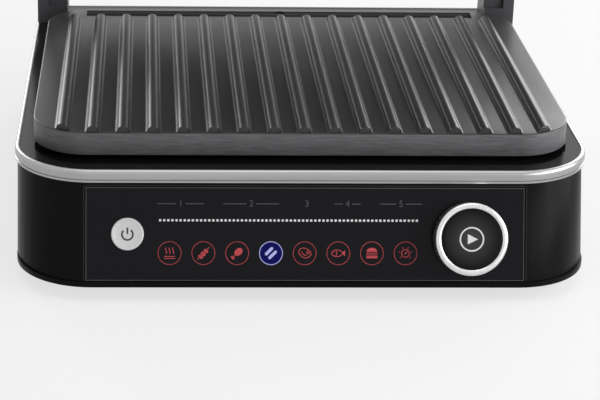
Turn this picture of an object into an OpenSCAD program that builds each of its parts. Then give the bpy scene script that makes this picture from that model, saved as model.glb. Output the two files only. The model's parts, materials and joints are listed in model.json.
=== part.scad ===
// Electric contact grill with a hinged, floating lid, shown with the lid open.
// Millimetres, +X right, +Y to the rear, +Z up. The origin lies on the table under the
// centre of the space that the open grill takes up.

/* [Base] */
// Width of the housing at its upper edge
base_w = 314; // [290:1:340]
// Depth from the foot of the sloped front to the rear wall
base_d = 330; // [300:1:360]
// Height of the pan's underside above the table
foot_h = 8; // [7:0.5:10]
// Height of the pan's rim that shows under the housing
pan_rim_h = 3; // [2.5:0.5:5]
// Height of the housing above the pan's rim
housing_h = 50; // [48:0.5:54]
// Angle by which the front leans back
front_lean = 20; // [16:1:22]
// Corner radius of the base at the front
corner_front_r = 42; // [36:1:48]
// Corner radius of the base at the rear
corner_rear_r = 18; // [14:1:20]
// Wall thickness of the housing
wall_t = 2.8; // [2.2:0.2:3.4]
// Thickness of the housing's front wall round the control panel
front_wall_t = 5; // [4.6:0.2:6]
// Thickness of the pan's floor
pan_t = 2.5; // [2:0.25:3.5]

/* [Trim and deck] */
// Height of the silver band
trim_h = 7; // [6:0.5:8]
// Thickness of the silver band, seen from above
trim_t = 2.8; // [2.4:0.2:4]
// Distance by which the band stands proud of the housing
trim_proud = 1.2; // [0.8:0.2:1.6]
// Thickness of the black deck
deck_t = 3.5; // [3:0.25:4.5]
// Depth of the deck's surface below the band's upper edge
deck_drop = 0.5; // [0.2:0.1:1]
// Depth of the black ledge between the band and the plate
ledge_d = 15.8; // [13:0.2:17]

/* [Grill plates] */
// Distance of a plate's side in from the housing's side
plate_side = 9; // [8.5:0.25:12]
// Distance of the lower plate's rear edge from the base's rear wall
plate_rear = 57.31; // [55:0.01:62]
// Height of each plate's edge
plate_h = 13; // [12:0.25:14]
// Thickness of the plate under its ribs
plate_slab_t = 5; // [4.5:0.5:6]
// Thickness of the plate's skirt
skirt_t = 5; // [4:0.5:6]
// Corner radius of each plate
plate_r = 30; // [25:1:34]
// Gap between the deck and the plate's skirt
plate_gap = 2.25; // [2:0.25:3.5]
// Number of ribs
rib_n = 17; // [13:2:17]
// Distance of the outermost rib's middle from the plate's side
rib_side = 16.8; // [15:0.1:18]
// Width of a rib at its foot
rib_w = 7.7; // [6:0.1:9]
// Height of a rib
rib_h = 3.5; // [3:0.1:4]
// Gap between the two sets of ribs with the lid shut
shut_gap = 1.5; // [1:0.25:3]

/* [Control panel] */
// Distance of the panel's edge from the housing's side
panel_side = 38.7; // [37:0.1:41]
// Thickness of the panel
panel_t = 2.5; // [2:0.25:3]
// Depth of the panel's face below the housing's front
panel_sink = 0.6; // [0.3:0.1:1]
// Distance of the power button's middle from the panel's left edge
button_in = 22.5; // [20:0.1:24]
// Radius of the power button
button_r = 8.75; // [7.5:0.25:10]
// Travel of the power button
button_travel = 0.8; // [0.5:0.1:0.9]
// Distance of the knob's middle from the panel's right edge
knob_in = 30.6; // [28:0.1:33]
// Distance of the knob below the panel's middle
knob_low = 1.9; // [0:0.1:3]
// Outer radius of the knob's ring
knob_r = 19.6; // [18:0.1:21]
// Radius of the knob's dark face
knob_face_r = 16.15; // [15:0.05:16.6]
// Height of the knob above the housing's front
knob_h = 13.5; // [11:0.5:16]
// Travel of the knob when it is pressed
knob_travel = 0.8; // [0.5:0.1:1]
// Number of programme lamps
lamp_n = 8; // [6:1:8]
// Gap between the power button and the ring of the first lamp
lamp_gap_left = 7.42; // [6:0.01:9]
// Gap between the ring of the last lamp and the knob
lamp_gap_right = 7.82; // [6:0.01:9]
// Radius of a lamp's ring
lamp_r = 6.43; // [6:0.01:7]

/* [Lid] */
// Angle of the lid when it rests open
lid_open = 105; // [98:1:108]
// Distance by which the lid overhangs the plate at each side
lid_side_over = 2; // [1.5:0.25:2.5]
// Distance of the lid's front before the plate
lid_front_over = 4; // [3:0.5:6]
// Distance of the lid's rear behind the plate
lid_rear_over = 6; // [4:0.5:8]
// Height of the lid's black frame
frame_h = 20.5; // [20:0.5:22]
// Height of the lid's steel cover
cover_h = 18; // [17:0.5:22]
// Thickness of the steel cover
cover_t = 1.2; // [0.8:0.1:1.6]
// Distance of the hinge axis behind the plate
hinge_back = 32; // [30:1:33]
// Height of the hinge axis above the deck
hinge_up = 34; // [33:1:36]

/* [Arms and handle] */
// Thickness of an arm
arm_t = 10; // [8:0.5:12]
// Width of an arm's bar
arm_w = 20; // [16:1:21]
// Gap between an arm and the lid
arm_gap = 1.5; // [1:0.25:2]
// Radius of the handle
handle_r = 11; // [9:0.5:13]
// Distance of the handle's axis before the lid's front
handle_out = 42; // [38:1:48]
// Radius of the hinge pins and of the lid's pivot pins
pin_r = 4; // [3.5:0.25:4.5]

/* [Drip tray] */
// Width of the drip tray
tray_w = 144; // [120:2:150]
// Depth of the drip tray
tray_d = 96; // [80:1:100]
// Height of the drip tray
tray_h = 24; // [18:1:25]
// Wall thickness of the drip tray
tray_t = 2; // [1.6:0.2:2.6]

/* [Clearances] */
// Running clearance of a pin or shaft, on the radius
run_gap = 0.05; // [0.03:0.01:0.08]
// Gap between pieces that are set in one another
seat_gap = 0.3; // [0.2:0.05:0.4]

/* [Hidden] */
$fn = 64;

// Widths that follow the base's width
plate_w = base_w - 2 * plate_side;
lid_w = plate_w + 2 * lid_side_over;
panel_w = base_w - 2 * panel_side;
rib_pitch = (plate_w - 2 * rib_side) / (rib_n - 1);

// Heights
pan_z = foot_h;
floor_z = pan_z + pan_t;
rim_z = pan_z + pan_rim_h;
house_z = rim_z + housing_h;
trim_z = house_z + trim_h;
deck_z = trim_z - deck_drop;
plate_z = deck_z + plate_gap;
plate_top = plate_z + plate_h;
slab_z = plate_top - plate_slab_t;
mid_z = plate_top + rib_h + shut_gap / 2;
hinge_z = deck_z + hinge_up;

// Places from front to rear, measured from the foot of the sloped front
house_set = (house_z - pan_z) * tan(front_lean);
trim_set = house_set - trim_proud;
plate_set = trim_set + trim_t + ledge_d;
plate_end = base_d - plate_rear;
plate_d = plate_end - plate_set;
hinge_set = plate_end + hinge_back;
lid_set = plate_set - lid_front_over;
lid_end = plate_end + lid_rear_over;
handle_set = lid_set - handle_out;

// Lid in its shut place
frame_z = 2 * mid_z - plate_z + 1;
frame_top = frame_z + frame_h;
cover_top = frame_top + cover_h;
pivot_set = (lid_set + lid_end) / 2;
pivot_z = frame_z + frame_h / 2;
handle_z = hinge_z + (pivot_z - hinge_z) * (hinge_set - handle_set) / (hinge_set - pivot_set);
lid_r = plate_r + 2;
lid_screw_x = lid_w / 2 - 14.5;
lid_screw_sets = [plate_set + 60, plate_end - 54];

// Widths
trim_w = base_w + 2 * trim_proud;
arm_x = lid_w / 2 + arm_gap;
arm_out = arm_x + arm_t;
head_t = 2.5;
head_r = pin_r + 3.5;

// Control panel, measured along the sloped front
rim_s = pan_rim_h / cos(front_lean);
house_s = (house_z - pan_z) / cos(front_lean);
panel_lip = 2.5;
panel_s0 = rim_s + seat_gap;
panel_s1 = house_s - panel_lip;
panel_h = panel_s1 - panel_s0;
panel_mid = (panel_s0 + panel_s1) / 2;
panel_back = panel_sink + panel_t;
window_edge = 3.4;
board_n = 14;
board_t = 1.6;
board_side = 13.3;
board_w = panel_w - 2 * board_side;
board_h = 38;
button_x = panel_w / 2 - button_in;
knob_x = panel_w / 2 - knob_in;
lamp_x0 = button_r + lamp_gap_left + lamp_r - button_x;
lamp_x1 = knob_x - knob_r - lamp_gap_right - lamp_r;
lamp_pitch = (lamp_x1 - lamp_x0) / (lamp_n - 1);
lamp_y = -10.2;
bar_x0 = lamp_x0 - 5.1;
bar_x1 = lamp_x1 + 6.05;
bar_y = 7.4;
stud_x = board_w / 2 - 5;
stud_y = board_h / 2 - 4;
stem_r = 2.5;
stem_end = 9;
switch_gap = button_travel + 0.1;

// The open grill's depth from the knob to the arms' ends, whose middle is the origin
lean_back = lid_open - 90;
grip_r = handle_r + 2;
arm_reach = (hinge_set - handle_set) * sin(lean_back) + (handle_z - hinge_z) * cos(lean_back);
knob_reach = knob_h * cos(front_lean) - (panel_mid - knob_low - knob_r) * sin(front_lean);
front_y = -(hinge_set + arm_reach + grip_r - knob_reach) / 2;
hinge_y = front_y + hinge_set;

// Knob and encoder, measured out from the housing's front
shaft_r = 3;
knob_n0 = knob_travel + 0.1;
encoder_w = 13;
encoder_n = 7;
rotor_r = 5;
rotor_n0 = 8.1;
rotor_n1 = 12.4;
shaft_n0 = 11.4;
shaft_n1 = knob_h - 4.5;
flange_h = 1.6;

// Well under the lower plate, and the heater in it
well_side = 20;
well_w = plate_w - 2 * well_side;
well_edge = 12;
drain_set = plate_end - 9;
well_y0 = plate_set + well_edge;
well_y1 = drain_set - 13;
sheet_t = 1.2;
pan_drop = 13;
reflector_edge = 3;
reflector_lip = 4;
reflector_z = deck_z - deck_t - pan_drop;
heater_r = 3.3;
heater_z = slab_z - heater_r - 1.2;
heater_side = 20;
heater_x = well_w / 2 - heater_side;
heater_y0 = well_y0 + 20;
heater_y1 = well_y1 - 16;
bend_r = 15;
leg_bend_r = 12;
leg_x = 14;
leg_drop = 6;
drain_r = 4;
spout_r = 6;
gutter_d = 12;

// Screw places under the deck
boss_x = base_w / 2 - 14;
boss_sets = [75, base_d / 2 + 13, base_d - 50];
boss_r = 4.5;
flange_t = 2;
screw_r = 1.5;
foot_x = base_w / 2 - 35;
foot_r = 9;
foot_plug_r = 3.5;
foot_sets = [42, base_d - 32];

// Spring clips that hold the plates, measured in from the skirt's inner face
clip_set = 128;
clip_w = 14;
clip_t = 0.8;
clip_in = 4.8;
clip_x = plate_w / 2 - skirt_t - clip_in;
keeper_in = 2.5;
keeper_up = 1;
keeper_h = 2.5;
clip_foot_z = floor_z + 24;
clip_post_z = floor_z + 33;
release_z = clip_post_z + 8;
release_r = 3;
release_travel = 3;
cap_w = 22;
cap_h = 9;
cap_out = 3.5;
upper_foot_z = frame_top + 10;
upper_release_z = frame_top - 5.5;

// Tower, tray and cord inlet
tower_t = 13.5;
tower_r = 12;
tower_front = 16;
tower_set = hinge_set - tower_front;
tower_d = tower_front + tower_r;
tower_screw_x = arm_x - 0.5 - tower_t / 2;
tower_screw_sets = [tower_set + 6, tower_set + tower_d - 6];
arm_end_r = 13;
heel_w = 10;
heel_l = 18;
stop_w = 4;
tray_z = floor_z + 1.8;
tray_set = base_d - tray_d - 2;

// Power board beside the tray's front, and the pillars that it stands on
supply_w = 68;
supply_l = 88;
supply_x = 21 - base_w / 2;
supply_set = tray_set - 118;
supply_z = floor_z + 7.5;
supply_holes_x = [supply_x + 4, supply_x + supply_w - 4];
supply_holes_set = [supply_set + 6, supply_set + supply_l - 6];
vent_pitch = 12;
gland_x = base_w / 2 - 45;
gland_z = 32;
gland_r = 4.2;
gland_out_r = 8;
gland_flange_r = 11;
gland_flange_t = 3;

// Front part of a rounded outline, from y0 back to y1
module front_half(w, y0, y1, r) {
    translate([-w / 2 + r, y0])
        square([w - 2 * r, y1 - y0]);
    translate([-w / 2, y0 + r])
        square([w, y1 - y0 - r]);
    for (side = [-1, 1])
        translate([side * (w / 2 - r), y0 + r])
            circle(r);
}

// Rear part of a rounded outline, from y0 back to y1
module rear_half(w, y0, y1, r) {
    translate([-w / 2 + r, y0])
        square([w - 2 * r, y1 - y0]);
    translate([-w / 2, y0])
        square([w, y1 - y0 - r]);
    for (side = [-1, 1])
        translate([side * (w / 2 - r), y1 - r])
            circle(r);
}

// Rounded outline with its own corner radius at the front and at the rear
module outline(w, y0, y1, front_r, rear_r) {
    middle = (y0 + y1) / 2;
    front_half(w, y0, middle + 1, front_r);
    rear_half(w, middle, y1, rear_r);
}

// Outline of the pan, drawn in by a wall at the sides and at the front
module pan_outline(side_in = 0, front_in = 0) {
    outline(
        base_w - 2 * side_in,
        front_y + front_in,
        front_y + base_d - side_in,
        corner_front_r - side_in,
        corner_rear_r - side_in
    );
}

// Solid between two heights with the base's sloped front, drawn in by its walls
module base_loft(z0, z1, side_in = 0, front_in = 0) {
    w = base_w - 2 * side_in;
    intersection() {
        translate([-base_w, front_y - 50, z0])
            cube([2 * base_w, base_d + 100, z1 - z0]);
        union() {
            translate([0, front_y, pan_z])
                rotate([-front_lean, 0, 0])
                    translate([0, 0, -base_d / 4])
                        linear_extrude(base_d)
                            front_half(w, front_in, base_d / 3, corner_front_r - side_in);
            translate([0, 0, z0])
                linear_extrude(z1 - z0)
                    rear_half(
                        w,
                        front_y + base_d / 4,
                        front_y + base_d - side_in,
                        corner_rear_r - side_in
                    );
        }
    }
}

module band_outline(in) {
    outline(
        trim_w - 2 * in,
        front_y + trim_set + in,
        front_y + base_d + trim_proud - in,
        corner_front_r + trim_proud - in,
        corner_rear_r + trim_proud - in
    );
}

module lid_outline(in) {
    outline(
        lid_w - 2 * in,
        front_y + lid_set + in,
        front_y + lid_end - in,
        max(lid_r - in, 2),
        max(lid_r - in, 2)
    );
}

module plate_outline(in) {
    outline(
        plate_w - 2 * in,
        front_y + plate_set + in,
        front_y + plate_end - in,
        max(plate_r - in, 2),
        max(plate_r - in, 2)
    );
}

module well_outline(grow) {
    outline(
        well_w + 2 * grow,
        front_y + well_y0 - grow,
        front_y + well_y1 + grow,
        18 + grow,
        18 + grow
    );
}

// Places things on the sloped front: X right, Y up the slope, Z out of the front
module on_panel(x = 0, y = 0) {
    translate([
        x,
        front_y + (panel_mid + y) * sin(front_lean),
        pan_z + (panel_mid + y) * cos(front_lean)
    ])
        rotate([90 - front_lean, 0, 0])
            children();
}

// Turns a lid piece from its shut place to its open place
module opened() {
    translate([0, hinge_y, hinge_z])
        rotate([-lid_open, 0, 0])
            translate([0, -hinge_y, -hinge_z])
                children();
}

// Turns a piece of the base's heating side over, for the lid
module mirrored_up() {
    translate([0, 0, 2 * mid_z])
        mirror([0, 0, 1])
            children();
}

module both_sides() {
    children();
    mirror([1, 0, 0])
        children();
}

// Cylinder along X between two places
module x_bar(x0, x1, r) {
    translate([x0, 0, 0])
        rotate([0, 90, 0])
            cylinder(h = x1 - x0, r = r);
}

// Flat bar between two points, drawn in the plane of an arm
module bar_2d(p, q, w) {
    dir = q - p;
    translate(p)
        rotate(atan2(dir[1], dir[0]))
            translate([0, -w / 2])
                square([norm(dir), w]);
}

// Stands a shape drawn in the Y-Z plane up, from x = 0 to x = t
module across(t) {
    rotate([90, 0, 90])
        linear_extrude(t)
            children();
}

// BASE

module bottom_pan() {
    color("#141416")
    difference() {
        union() {
            translate([0, 0, pan_z])
                linear_extrude(pan_t)
                    pan_outline();
            translate([0, 0, pan_z])
                linear_extrude(pan_rim_h)
                    difference() {
                        pan_outline();
                        pan_outline(4, 7);
                    }
            pan_lip();
            pan_posts();
        }
        // groove for the lower edge of the control panel
        on_panel()
            translate([
                -panel_w / 2 - seat_gap,
                -panel_h / 2 - seat_gap,
                -panel_back - seat_gap
            ])
                cube([panel_w + 2 * seat_gap, panel_h, panel_back + 5]);
        for (side = [-1, 1]) {
            for (d = boss_sets)
                translate([side * boss_x, front_y + d, pan_z]) {
                    cylinder(h = 4 * pan_t, r = screw_r + 0.3, center = true);
                    cylinder(h = 2.4, r = 3.4, center = true);
                }
            for (d = foot_sets)
                translate([side * foot_x, front_y + d, pan_z])
                    cylinder(h = 4 * pan_t, r = foot_plug_r, center = true);
            for (i = [0 : 4])
                translate([side * 62, front_y + supply_set + 18 + i * vent_pitch, pan_z])
                    cube([50, 4, 4 * pan_t], center = true);
        }
        translate([-tray_w / 2 - 1, front_y + base_d - 14, floor_z + 1])
            cube([tray_w + 2, 15, 20]);
    }
}

// Lip inside the housing's wall, left out behind the control panel
module pan_lip() {
    translate([0, 0, floor_z - 0.1])
        linear_extrude(7.1)
            difference() {
                pan_outline(wall_t + seat_gap, front_wall_t + 5);
                pan_outline(wall_t + seat_gap + 1.6, front_wall_t + 6.6);
                translate([-panel_w / 2 - 2, front_y])
                    square([panel_w + 4, 60]);
            }
}

// Tray rails, board pillars and clip posts on the pan's floor
module pan_posts() {
    both_sides() {
        translate([tray_w / 2 - 14, front_y + tray_set, floor_z - 0.1])
            cube([4, base_d - tray_set - 8, tray_z - floor_z - seat_gap + 0.1]);
        translate([clip_x, front_y + clip_set - 9, floor_z - 0.1])
            cube([clip_in + 1, 18, clip_post_z - floor_z + 0.1]);
    }
    for (x = supply_holes_x)
        for (d = supply_holes_set)
            translate([x, front_y + d, floor_z - 0.1])
                cylinder(h = supply_z - floor_z + 0.1, r = 3.5);
    for (x = [gland_x - 12, gland_x + 12])
        translate([x, front_y + base_d - 58, floor_z - 0.1])
            cylinder(h = 4.1, r = 4);
}

module base_housing() {
    color("#17171a")
    difference() {
        base_loft(rim_z, house_z);
        base_loft(rim_z - 1, house_z - flange_t, wall_t, front_wall_t);
        translate([0, 0, house_z - 2 * flange_t])
            linear_extrude(4 * flange_t)
                band_outline(trim_t + 5);
        // recess and window for the control panel
        on_panel() {
            translate([-panel_w / 2 - seat_gap, -panel_h / 2 - 6, -panel_back])
                cube([panel_w + 2 * seat_gap, panel_h + 6 + seat_gap, panel_back + 5]);
            translate([-panel_w / 2 + window_edge, -panel_h / 2 + window_edge, -30])
                cube([panel_w - 2 * window_edge, panel_h - 2 * window_edge, 32]);
        }
        // slot for the drip tray
        translate([-tray_w / 2 - 0.6, front_y + base_d - 10, tray_z - 0.6])
            cube([tray_w + 1.2, 20, tray_h + 1.6]);
        // hole for the cord's gland
        translate([gland_x, front_y + base_d, gland_z])
            rotate([90, 0, 0])
                cylinder(h = 20, r = gland_out_r, center = true);
        // window for the lower plate's release button
        translate([base_w / 2, front_y + clip_set, release_z])
            cube([20, cap_w + 2 * seat_gap, cap_h + 2 * seat_gap], center = true);
        // air slots in both side walls
        for (i = [0 : 7])
            translate([0, front_y + 190 + 9 * i, rim_z + 14])
                cube([base_w + 10, 3.5, 14], center = true);
    }
}

module trim_band() {
    color("#b4b4b6")
    translate([0, 0, house_z]) {
        linear_extrude(trim_h - 1)
            difference() {
                band_outline(0);
                band_outline(trim_t);
            }
        translate([0, 0, trim_h - 1])
            linear_extrude(1)
                difference() {
                    band_outline(1);
                    band_outline(trim_t);
                }
    }
}

// Pads on a deck that a plate stands on
module plate_seat() {
    for (x = [-1, 1])
        for (d = [plate_set + 28, plate_end - 28])
            translate([x * (plate_w / 2 - 6) - 5, front_y + d - 8, deck_z - 0.5])
                cube([10, 16, plate_gap + 0.5]);
}

// Notches in the well's edge for the spring clips at the sides
module side_clip_slots() {
    notch_x = well_w / 2 - 1;
    both_sides()
        translate([notch_x, front_y + clip_set - clip_w / 2 - 1, deck_z - 2 * deck_t])
            cube([clip_x + 1 - notch_x, clip_w + 2, 4 * deck_t]);
}

module top_deck() {
    color("#0e0e10")
    difference() {
        union() {
            translate([0, 0, deck_z - deck_t])
                linear_extrude(deck_t)
                    band_outline(trim_t);
            translate([0, 0, house_z])
                linear_extrude(trim_h - deck_drop)
                    difference() {
                        band_outline(trim_t);
                        band_outline(trim_t + 4);
                    }
            plate_seat();
            for (side = [-1, 1])
                for (d = boss_sets)
                    translate([side * boss_x, front_y + d, floor_z])
                        cylinder(h = deck_z - floor_z - 1, r = boss_r);
        }
        translate([0, 0, deck_z - 2 * deck_t])
            linear_extrude(4 * deck_t)
                well_outline(0);
        translate([0, front_y + drain_set, deck_z])
            cylinder(h = 4 * deck_t, r = spout_r + 1.5, center = true);
        side_clip_slots();
        for (side = [-1, 1]) {
            for (d = boss_sets)
                translate([side * boss_x, front_y + d, floor_z - 1])
                    cylinder(h = 26, r = screw_r);
            for (d = tower_screw_sets)
                translate([side * tower_screw_x, front_y + d, deck_z])
                    cylinder(h = 4 * deck_t, r = 2, center = true);
        }
    }
}

module rubber_feet() {
    color("#202020")
    for (side = [-1, 1])
        for (d = foot_sets)
            translate([side * foot_x, front_y + d, 0]) {
                cylinder(h = foot_h, r1 = foot_r - 1, r2 = foot_r);
                cylinder(h = foot_h + pan_t + 1, r = foot_plug_r);
            }
}

// Pan-head screw that points up from its head
module screw(shank_r, head_r, shank_l, head_l) {
    cylinder(h = head_l, r = head_r);
    cylinder(h = head_l + shank_l, r = shank_r);
}

module base_screws() {
    color("#9a9aa0")
    for (side = [-1, 1])
        for (d = boss_sets)
            translate([side * boss_x, front_y + d, pan_z - 0.4])
                screw(screw_r, 3, 14, 1.6);
}

module tower_screws() {
    color("#9a9aa0")
    for (side = [-1, 1])
        for (d = tower_screw_sets)
            translate([side * tower_screw_x, front_y + d, deck_z - deck_t - 2])
                screw(2, 3.8, deck_t + 9, 2);
}

module power_board() {
    color("#1f5a38")
    difference() {
        translate([supply_x, front_y + supply_set, supply_z])
            cube([supply_w, supply_l, board_t]);
        for (x = supply_holes_x)
            for (d = supply_holes_set)
                translate([x, front_y + d, supply_z])
                    cylinder(h = 10, r = 1.2, center = true);
    }
    color("#2b2b2e")
    translate([supply_x, front_y + supply_set, supply_z + board_t]) {
        translate([8, 16, 0])
            cube([20, 16, 14]);
        translate([8, 40, 0])
            cube([20, 16, 14]);
        translate([46, 60, 0])
            cylinder(h = 16, r = 8);
        translate([38, 20, 0])
            cube([22, 20, 12]);
    }
}

module terminal_block() {
    color("#e6e1d2")
    translate([gland_x - 17, front_y + base_d - 66, floor_z + 4])
        difference() {
            cube([34, 16, 14]);
            for (x = [6, 17, 28])
                translate([x, 8, 14])
                    cylinder(h = 16, r = 2, center = true);
        }
}

module cord_gland() {
    color("#1b1b1b")
    translate([gland_x, front_y + base_d, gland_z])
        rotate([90, 0, 0])
            difference() {
                union() {
                    cylinder(h = wall_t + 3, r = gland_out_r);
                    translate([0, 0, -gland_flange_t])
                        cylinder(h = gland_flange_t, r = gland_flange_r);
                    translate([0, 0, wall_t])
                        cylinder(h = 2, r = gland_out_r + 1.5);
                }
                cylinder(h = 40, r = gland_r, center = true);
            }
}

// CONTROL PANEL

module control_panel() {
    color("#101014")
    on_panel()
        difference() {
            union() {
                translate([-panel_w / 2, -panel_h / 2, -panel_back])
                    cube([panel_w, panel_h, panel_t]);
                for (x = [-stud_x, stud_x])
                    for (y = [-stud_y, stud_y])
                        translate([x, y, -board_n])
                            cylinder(h = board_n - panel_back + 0.5, r = 3);
            }
            translate([-button_x, 0, -panel_back])
                cylinder(h = 20, r = button_r + 0.15, center = true);
            translate([knob_x, -knob_low, -panel_back])
                cylinder(h = 20, r = shaft_r + 1, center = true);
            for (x = [-stud_x, stud_x])
                for (y = [-stud_y, stud_y])
                    translate([x, y, -board_n - 1])
                        cylinder(h = 8, r = 1);
        }
}

module display_board() {
    color("#1f5a38")
    on_panel()
        translate([0, 0, -board_n - board_t / 2])
            difference() {
                cube([board_w, board_h, board_t], center = true);
                for (x = [-stud_x, stud_x])
                    for (y = [-stud_y, stud_y])
                        translate([x, y, 0])
                            cylinder(h = 4, r = 1.2, center = true);
            }
}

module board_screws() {
    color("#9a9aa0")
    on_panel()
        for (x = [-stud_x, stud_x])
            for (y = [-stud_y, stud_y])
                translate([x, y, -board_n - board_t - 1.4])
                    screw(1, 2.4, 7, 1.4);
}

// Black frame that keeps the light of one programme lamp from the next
module lamp_frame() {
    color("#1c1c1e")
    on_panel()
        difference() {
            translate([lamp_x0 - lamp_pitch / 2, lamp_y - 8.2, -board_n])
                cube([lamp_n * lamp_pitch, 16.4, board_n - panel_back - seat_gap]);
            for (i = [0 : lamp_n - 1])
                translate([lamp_x0 + i * lamp_pitch, lamp_y, -board_n - 1])
                    cylinder(h = board_n, r = lamp_r + 0.3);
        }
}

module light_guide() {
    color("#f2f2f2")
    on_panel()
        translate([bar_x0 - 2, bar_y - 2, -board_n])
            cube([bar_x1 - bar_x0 + 4, 4, board_n - panel_back - seat_gap]);
}

module power_switch() {
    color("#303034")
    on_panel(-button_x) {
        translate([-3, -3, -board_n])
            cube([6, 6, 3]);
        translate([0, 0, -board_n])
            cylinder(h = board_n - stem_end - switch_gap, r = 1.7);
    }
}

module power_button() {
    color("#c4c4c6")
    on_panel(-button_x) {
        translate([0, 0, -panel_back])
            cylinder(h = panel_back + 0.8, r = button_r);
        translate([0, 0, 0.8])
            cylinder(h = 0.4, r1 = button_r, r2 = button_r - 0.4);
        translate([0, 0, -panel_back - 1.2])
            cylinder(h = 1.1, r = button_r + 1.2);
        translate([0, 0, -panel_back - 0.2])
            cylinder(h = 0.3, r = button_r);
        translate([0, 0, -stem_end])
            cylinder(h = stem_end - panel_back, r = stem_r);
    }
}

module encoder_body() {
    color("#8c8c90")
    on_panel(knob_x, -knob_low)
        difference() {
            union() {
                translate([-encoder_w / 2, -encoder_w / 2, -board_n])
                    cube([encoder_w, encoder_w, board_n - encoder_n]);
                translate([0, 0, -encoder_n - 0.1])
                    cylinder(h = encoder_n - panel_sink - 1, r = 3.8);
            }
            translate([0, 0, -rotor_n1 - 0.3])
                cylinder(h = rotor_n1 - rotor_n0 + 0.6, r = rotor_r + run_gap);
            translate([0, 0, -encoder_n - 2])
                cylinder(h = 20, r = shaft_r + run_gap);
        }
}

module encoder_rotor() {
    color("#d8b46a")
    on_panel(knob_x, -knob_low)
        translate([0, 0, -rotor_n1])
            difference() {
                cylinder(h = rotor_n1 - rotor_n0, r = rotor_r);
                cylinder(h = 20, r = shaft_r + run_gap, center = true);
            }
}

module encoder_shaft() {
    color("#b8b8bc")
    on_panel(knob_x, -knob_low)
        translate([0, 0, -shaft_n0])
            cylinder(h = shaft_n0 + shaft_n1, r = shaft_r);
}

module knob_body() {
    color("#121214")
    on_panel(knob_x, -knob_low)
        difference() {
            union() {
                translate([0, 0, knob_n0])
                    cylinder(h = flange_h, r = knob_r - 0.8);
                translate([0, 0, knob_n0])
                    cylinder(h = knob_h - knob_n0 - 1, r = knob_face_r);
            }
            difference() {
                translate([0, 0, knob_n0 - 1])
                    cylinder(h = knob_h - knob_n0 - 2.4, r = knob_face_r - 2);
                translate([0, 0, knob_n0])
                    cylinder(h = knob_h, r = shaft_r + 2);
            }
            translate([0, 0, knob_n0 - 1])
                cylinder(h = shaft_n1 - knob_n0 + 1, r = shaft_r);
        }
}

module knob_ring() {
    color("#d0d0d2")
    on_panel(knob_x, -knob_low)
        translate([0, 0, knob_n0 + flange_h])
            rotate_extrude()
                knob_ring_section();
}

// Section of the ring, from its bore to its outer wall
module knob_ring_section() {
    ring_h = knob_h - knob_n0 - flange_h;
    ring_w = knob_r - knob_face_r - run_gap;
    edge = min(1.2, ring_w * 0.4);
    translate([knob_face_r + run_gap, 0])
        square([ring_w, ring_h - edge]);
    translate([knob_face_r + run_gap + edge, 0])
        square([ring_w - 2 * edge, ring_h]);
    translate([knob_face_r + run_gap + edge, ring_h - edge])
        circle(edge);
    translate([knob_r - edge, ring_h - edge])
        circle(edge);
}

// GRILL PLATES AND HEATERS, drawn for the base and turned over for the lid

module grill_plate(drain) {
    rib_r = (rib_w * rib_w / 4 + rib_h * rib_h) / (2 * rib_h);
    gutter_set = plate_end - skirt_t - gutter_d;
    difference() {
        union() {
            translate([0, 0, plate_z])
                linear_extrude(plate_h)
                    plate_outline(0);
            intersection() {
                translate([0, 0, plate_top - 1])
                    linear_extrude(rib_h + 2)
                        difference() {
                            plate_outline(0.8);
                            translate([-plate_w, front_y + gutter_set - 4])
                                square([2 * plate_w, plate_d]);
                        }
                for (i = [0 : rib_n - 1])
                    translate([
                        (i - (rib_n - 1) / 2) * rib_pitch,
                        front_y + plate_set,
                        plate_top + rib_h - rib_r
                    ])
                        rotate([-90, 0, 0])
                            cylinder(h = plate_d, r = rib_r);
            }
        }
        // room for the heater under the slab
        difference() {
            translate([0, 0, plate_z - 1])
                linear_extrude(slab_z - plate_z + 1)
                    plate_outline(skirt_t);
            if (drain)
                translate([0, front_y + drain_set, plate_z - 2])
                    cylinder(h = 20, r = spout_r);
            keepers(drain);
        }
        if (drain) {
            translate([-plate_w / 2 + 24, front_y + gutter_set, plate_top - 2])
                cube([plate_w - 48, gutter_d, 10]);
            translate([0, front_y + drain_set, plate_z - 10])
                cylinder(h = 40, r = drain_r);
        }
    }
    if (drain)
        translate([0, front_y + drain_set, plate_z - 6])
            difference() {
                cylinder(h = 6.1, r = spout_r);
                cylinder(h = 20, r = drain_r, center = true);
            }
}

// Ledges inside the skirt that the spring clips hook over
module keepers(at_sides) {
    if (at_sides)
        both_sides()
            translate([plate_w / 2 - skirt_t - keeper_in, front_y + clip_set, plate_z + keeper_up])
                keeper_block();
    else
        front_and_rear()
            keeper_block();
}

module keeper_block() {
    translate([0, -clip_w / 2 + 1, 0])
        cube([keeper_in + 1, clip_w - 2, keeper_h]);
}

// Places a clip feature at the middle of the plate's front edge and of its rear edge
module front_and_rear() {
    translate([0, front_y + plate_set + skirt_t + keeper_in, plate_z + keeper_up])
        rotate([0, 0, -90])
            children();
    translate([0, front_y + plate_end - skirt_t - keeper_in, plate_z + keeper_up])
        rotate([0, 0, 90])
            children();
}

// Leaf spring with a hook, its outer side at the skirt's side of x = 0
module clip_leaf(length) {
    translate([-clip_t, -clip_w / 2 + 2, -length])
        cube([clip_t, clip_w - 4, length]);
    translate([-clip_t, -clip_w / 2 + 2, -clip_t])
        cube([clip_in - 0.8 + clip_t, clip_w - 4, clip_t]);
}

module lower_clips() {
    hook_z = plate_z + keeper_up + keeper_h + seat_gap + clip_t;
    color("#c8c8ca")
    both_sides()
        translate([clip_x, front_y + clip_set, hook_z])
            clip_leaf(hook_z - clip_foot_z);
}

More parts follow.
